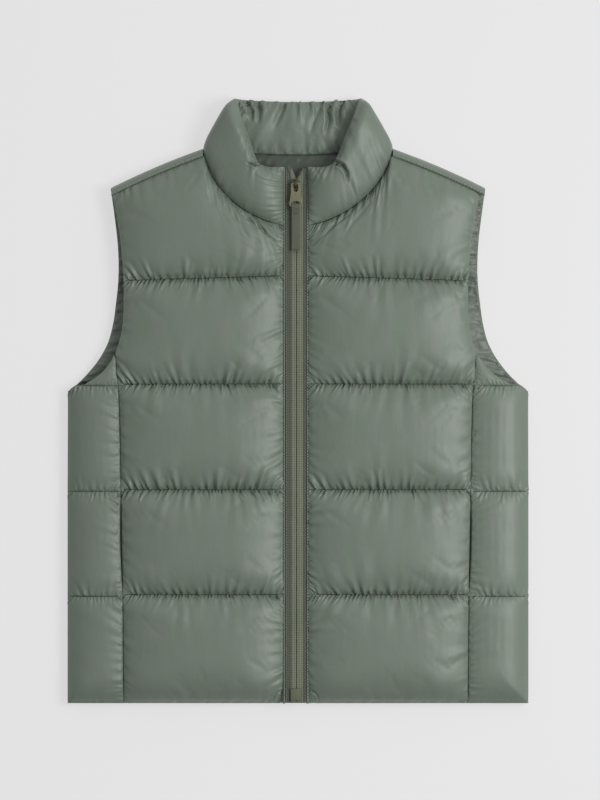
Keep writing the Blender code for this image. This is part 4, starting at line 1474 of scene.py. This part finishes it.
def levelAlong(line, lift=0.0):
    # the line's own heights on the sewn surface, with a little lift
    line = np.asarray(line, float) * mm
    z = seamLevel(line[:, 0], line[:, 1]) + lift * mm
    return np.column_stack([line, z])


def quiltRun(store, line):
    sizes = (seams[key] * mm for key in ("quiltPitch", "quiltLength", "quiltHalf"))
    stitchRun(store, levelAlong(line, seams["quiltLift"]), (0, 0, 1), *sizes)


def makeStitching(material, paleMaterial):
    store, pale = ([], []), ([], [])
    edge = frontEdge / mm
    for side, _ in sides:
        for y, tilt in zip(outline["quiltY"], outline["quiltTilt"]):
            outer = 197 if y < 100 else 194
            share = np.linspace(0, 1, 40)
            x = edge + (outer - edge) * share
            quiltRun(store, np.stack([side * x + zipX / mm, y + tilt * (share - 0.4)], axis=1))
        for y in outline["quiltY"][:3]:
            high = y - outline["sideDrop"]
            end = np.interp(high, *np.array(outline["armholeFront"])[:4].T) if high > 11.5 else 263
            quiltRun(store, np.stack([side * np.linspace(201.5, end, 20), np.full(20, high)], axis=1))
        for kept, off, z in (
            (store, zipParts["facing"][0] + seams["facingRow"][0], seams["facingRow"][1]),
            (pale, zipParts["tapeEdge"] - seams["tapeRow"][0], tapeZ / mm - seams["tapeRow"][1]),
        ):
            line = [(zipX + side * off * mm, y * mm, z * mm) for y in np.linspace(hemY / mm + 1, 266, 60)]
            stitchRun(kept, line, (0, 0, 1), zipParts["stitchPitch"] * mm,
                      zipParts["stitchLength"] * mm, zipParts["stitchHalf"] * mm)
    sewn("vestStitching", store, material)
    sewn("zipStitching", pale, paleMaterial)


makeStitching(thread, paleThread)
print("stitching done")

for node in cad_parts:
    obj = bpy.data.objects[node]
    cloth = lining if node.startswith("pocket_bag") else shell
    if not obj.data.materials:
        obj.data.materials.append(cloth)
    for slotIndex in range(len(obj.material_slots)):
        obj.material_slots[slotIndex].material = cloth

# Floor, light and camera.

studio = {
    "cameraHeight": 6.0,
    "viewSpan": 0.920,  # metres up the picture, at the height of the vest's edge
    "middle": (0.0023, 0.0006),
    "keyStrength": 1.7,
    "keySize": 0.95,
    "keyFar": 2.2,
    "keyFrom": (1.12, 0.06, 1.72),
    "sky": 0.51,
    "skyLean": (0.30, 0.60, 0.0),  # brighter towards the collar and the right
    "floorTone": 0.2,
    "floorGlow": 0.605,
    "edgeHeight": 0.014,  # of the vest's edge above the floor
}


def makeStudio():
    bpy.ops.mesh.primitive_plane_add(size=8, location=(0, 0, -0.0006))
    floor = bpy.context.object
    floor.name = "floor"
    material = bpy.data.materials.new("paleFloor")
    material.use_nodes = True
    shader = material.node_tree.nodes["Principled BSDF"]
    shader.inputs["Base Color"].default_value = (*[studio["floorTone"]] * 3, 1)
    shader.inputs["Roughness"].default_value = 1.0
    shader.inputs["Specular IOR Level"].default_value = 0.0
    shader.inputs["Emission Color"].default_value = (1, 1, 1, 1)
    shader.inputs["Emission Strength"].default_value = studio["floorGlow"]
    floor.data.materials.append(material)
    key = bpy.data.lights.new("key", "AREA")
    key.shape = "DISK"
    key.size = studio["keySize"]
    key.energy = studio["keyStrength"] * math.pi * studio["keyFar"] ** 2
    lamp = bpy.data.objects.new("key", key)
    scene.collection.objects.link(lamp)
    lamp.location = Vector(studio["keyFrom"]).normalized() * studio["keyFar"]
    lamp.rotation_euler = Vector(studio["keyFrom"]).to_track_quat("Z", "Y").to_euler()
    world = bpy.data.worlds.new("studio")
    scene.world = world
    world.use_nodes = True
    backdrop = world.node_tree.nodes["Background"]
    backdrop.inputs["Color"].default_value = (1, 1, 1, 1)
    place = world.node_tree.nodes.new("ShaderNodeTexCoord")
    lean = world.node_tree.nodes.new("ShaderNodeVectorMath")
    lean.operation = "DOT_PRODUCT"
    lean.inputs[1].default_value = studio["skyLean"]
    level = world.node_tree.nodes.new("ShaderNodeMath")
    level.operation = "MULTIPLY_ADD"
    level.inputs[1].default_value = level.inputs[2].default_value = studio["sky"]
    world.node_tree.links.new(place.outputs["Generated"], lean.inputs[0])
    world.node_tree.links.new(lean.outputs["Value"], level.inputs[0])
    world.node_tree.links.new(level.outputs[0], backdrop.inputs["Strength"])
    lens = bpy.data.cameras.new("camera")
    camera = bpy.data.objects.new("camera", lens)
    scene.collection.objects.link(camera)
    camera.location = (*studio["middle"], studio["cameraHeight"])
    lens.sensor_width = 36
    lens.lens = 36 * (studio["cameraHeight"] - studio["edgeHeight"]) / studio["viewSpan"]
    lens.clip_end = 50
    scene.camera = camera
    scene.view_settings.view_transform = "Standard"


makeStudio()
print("studio done")
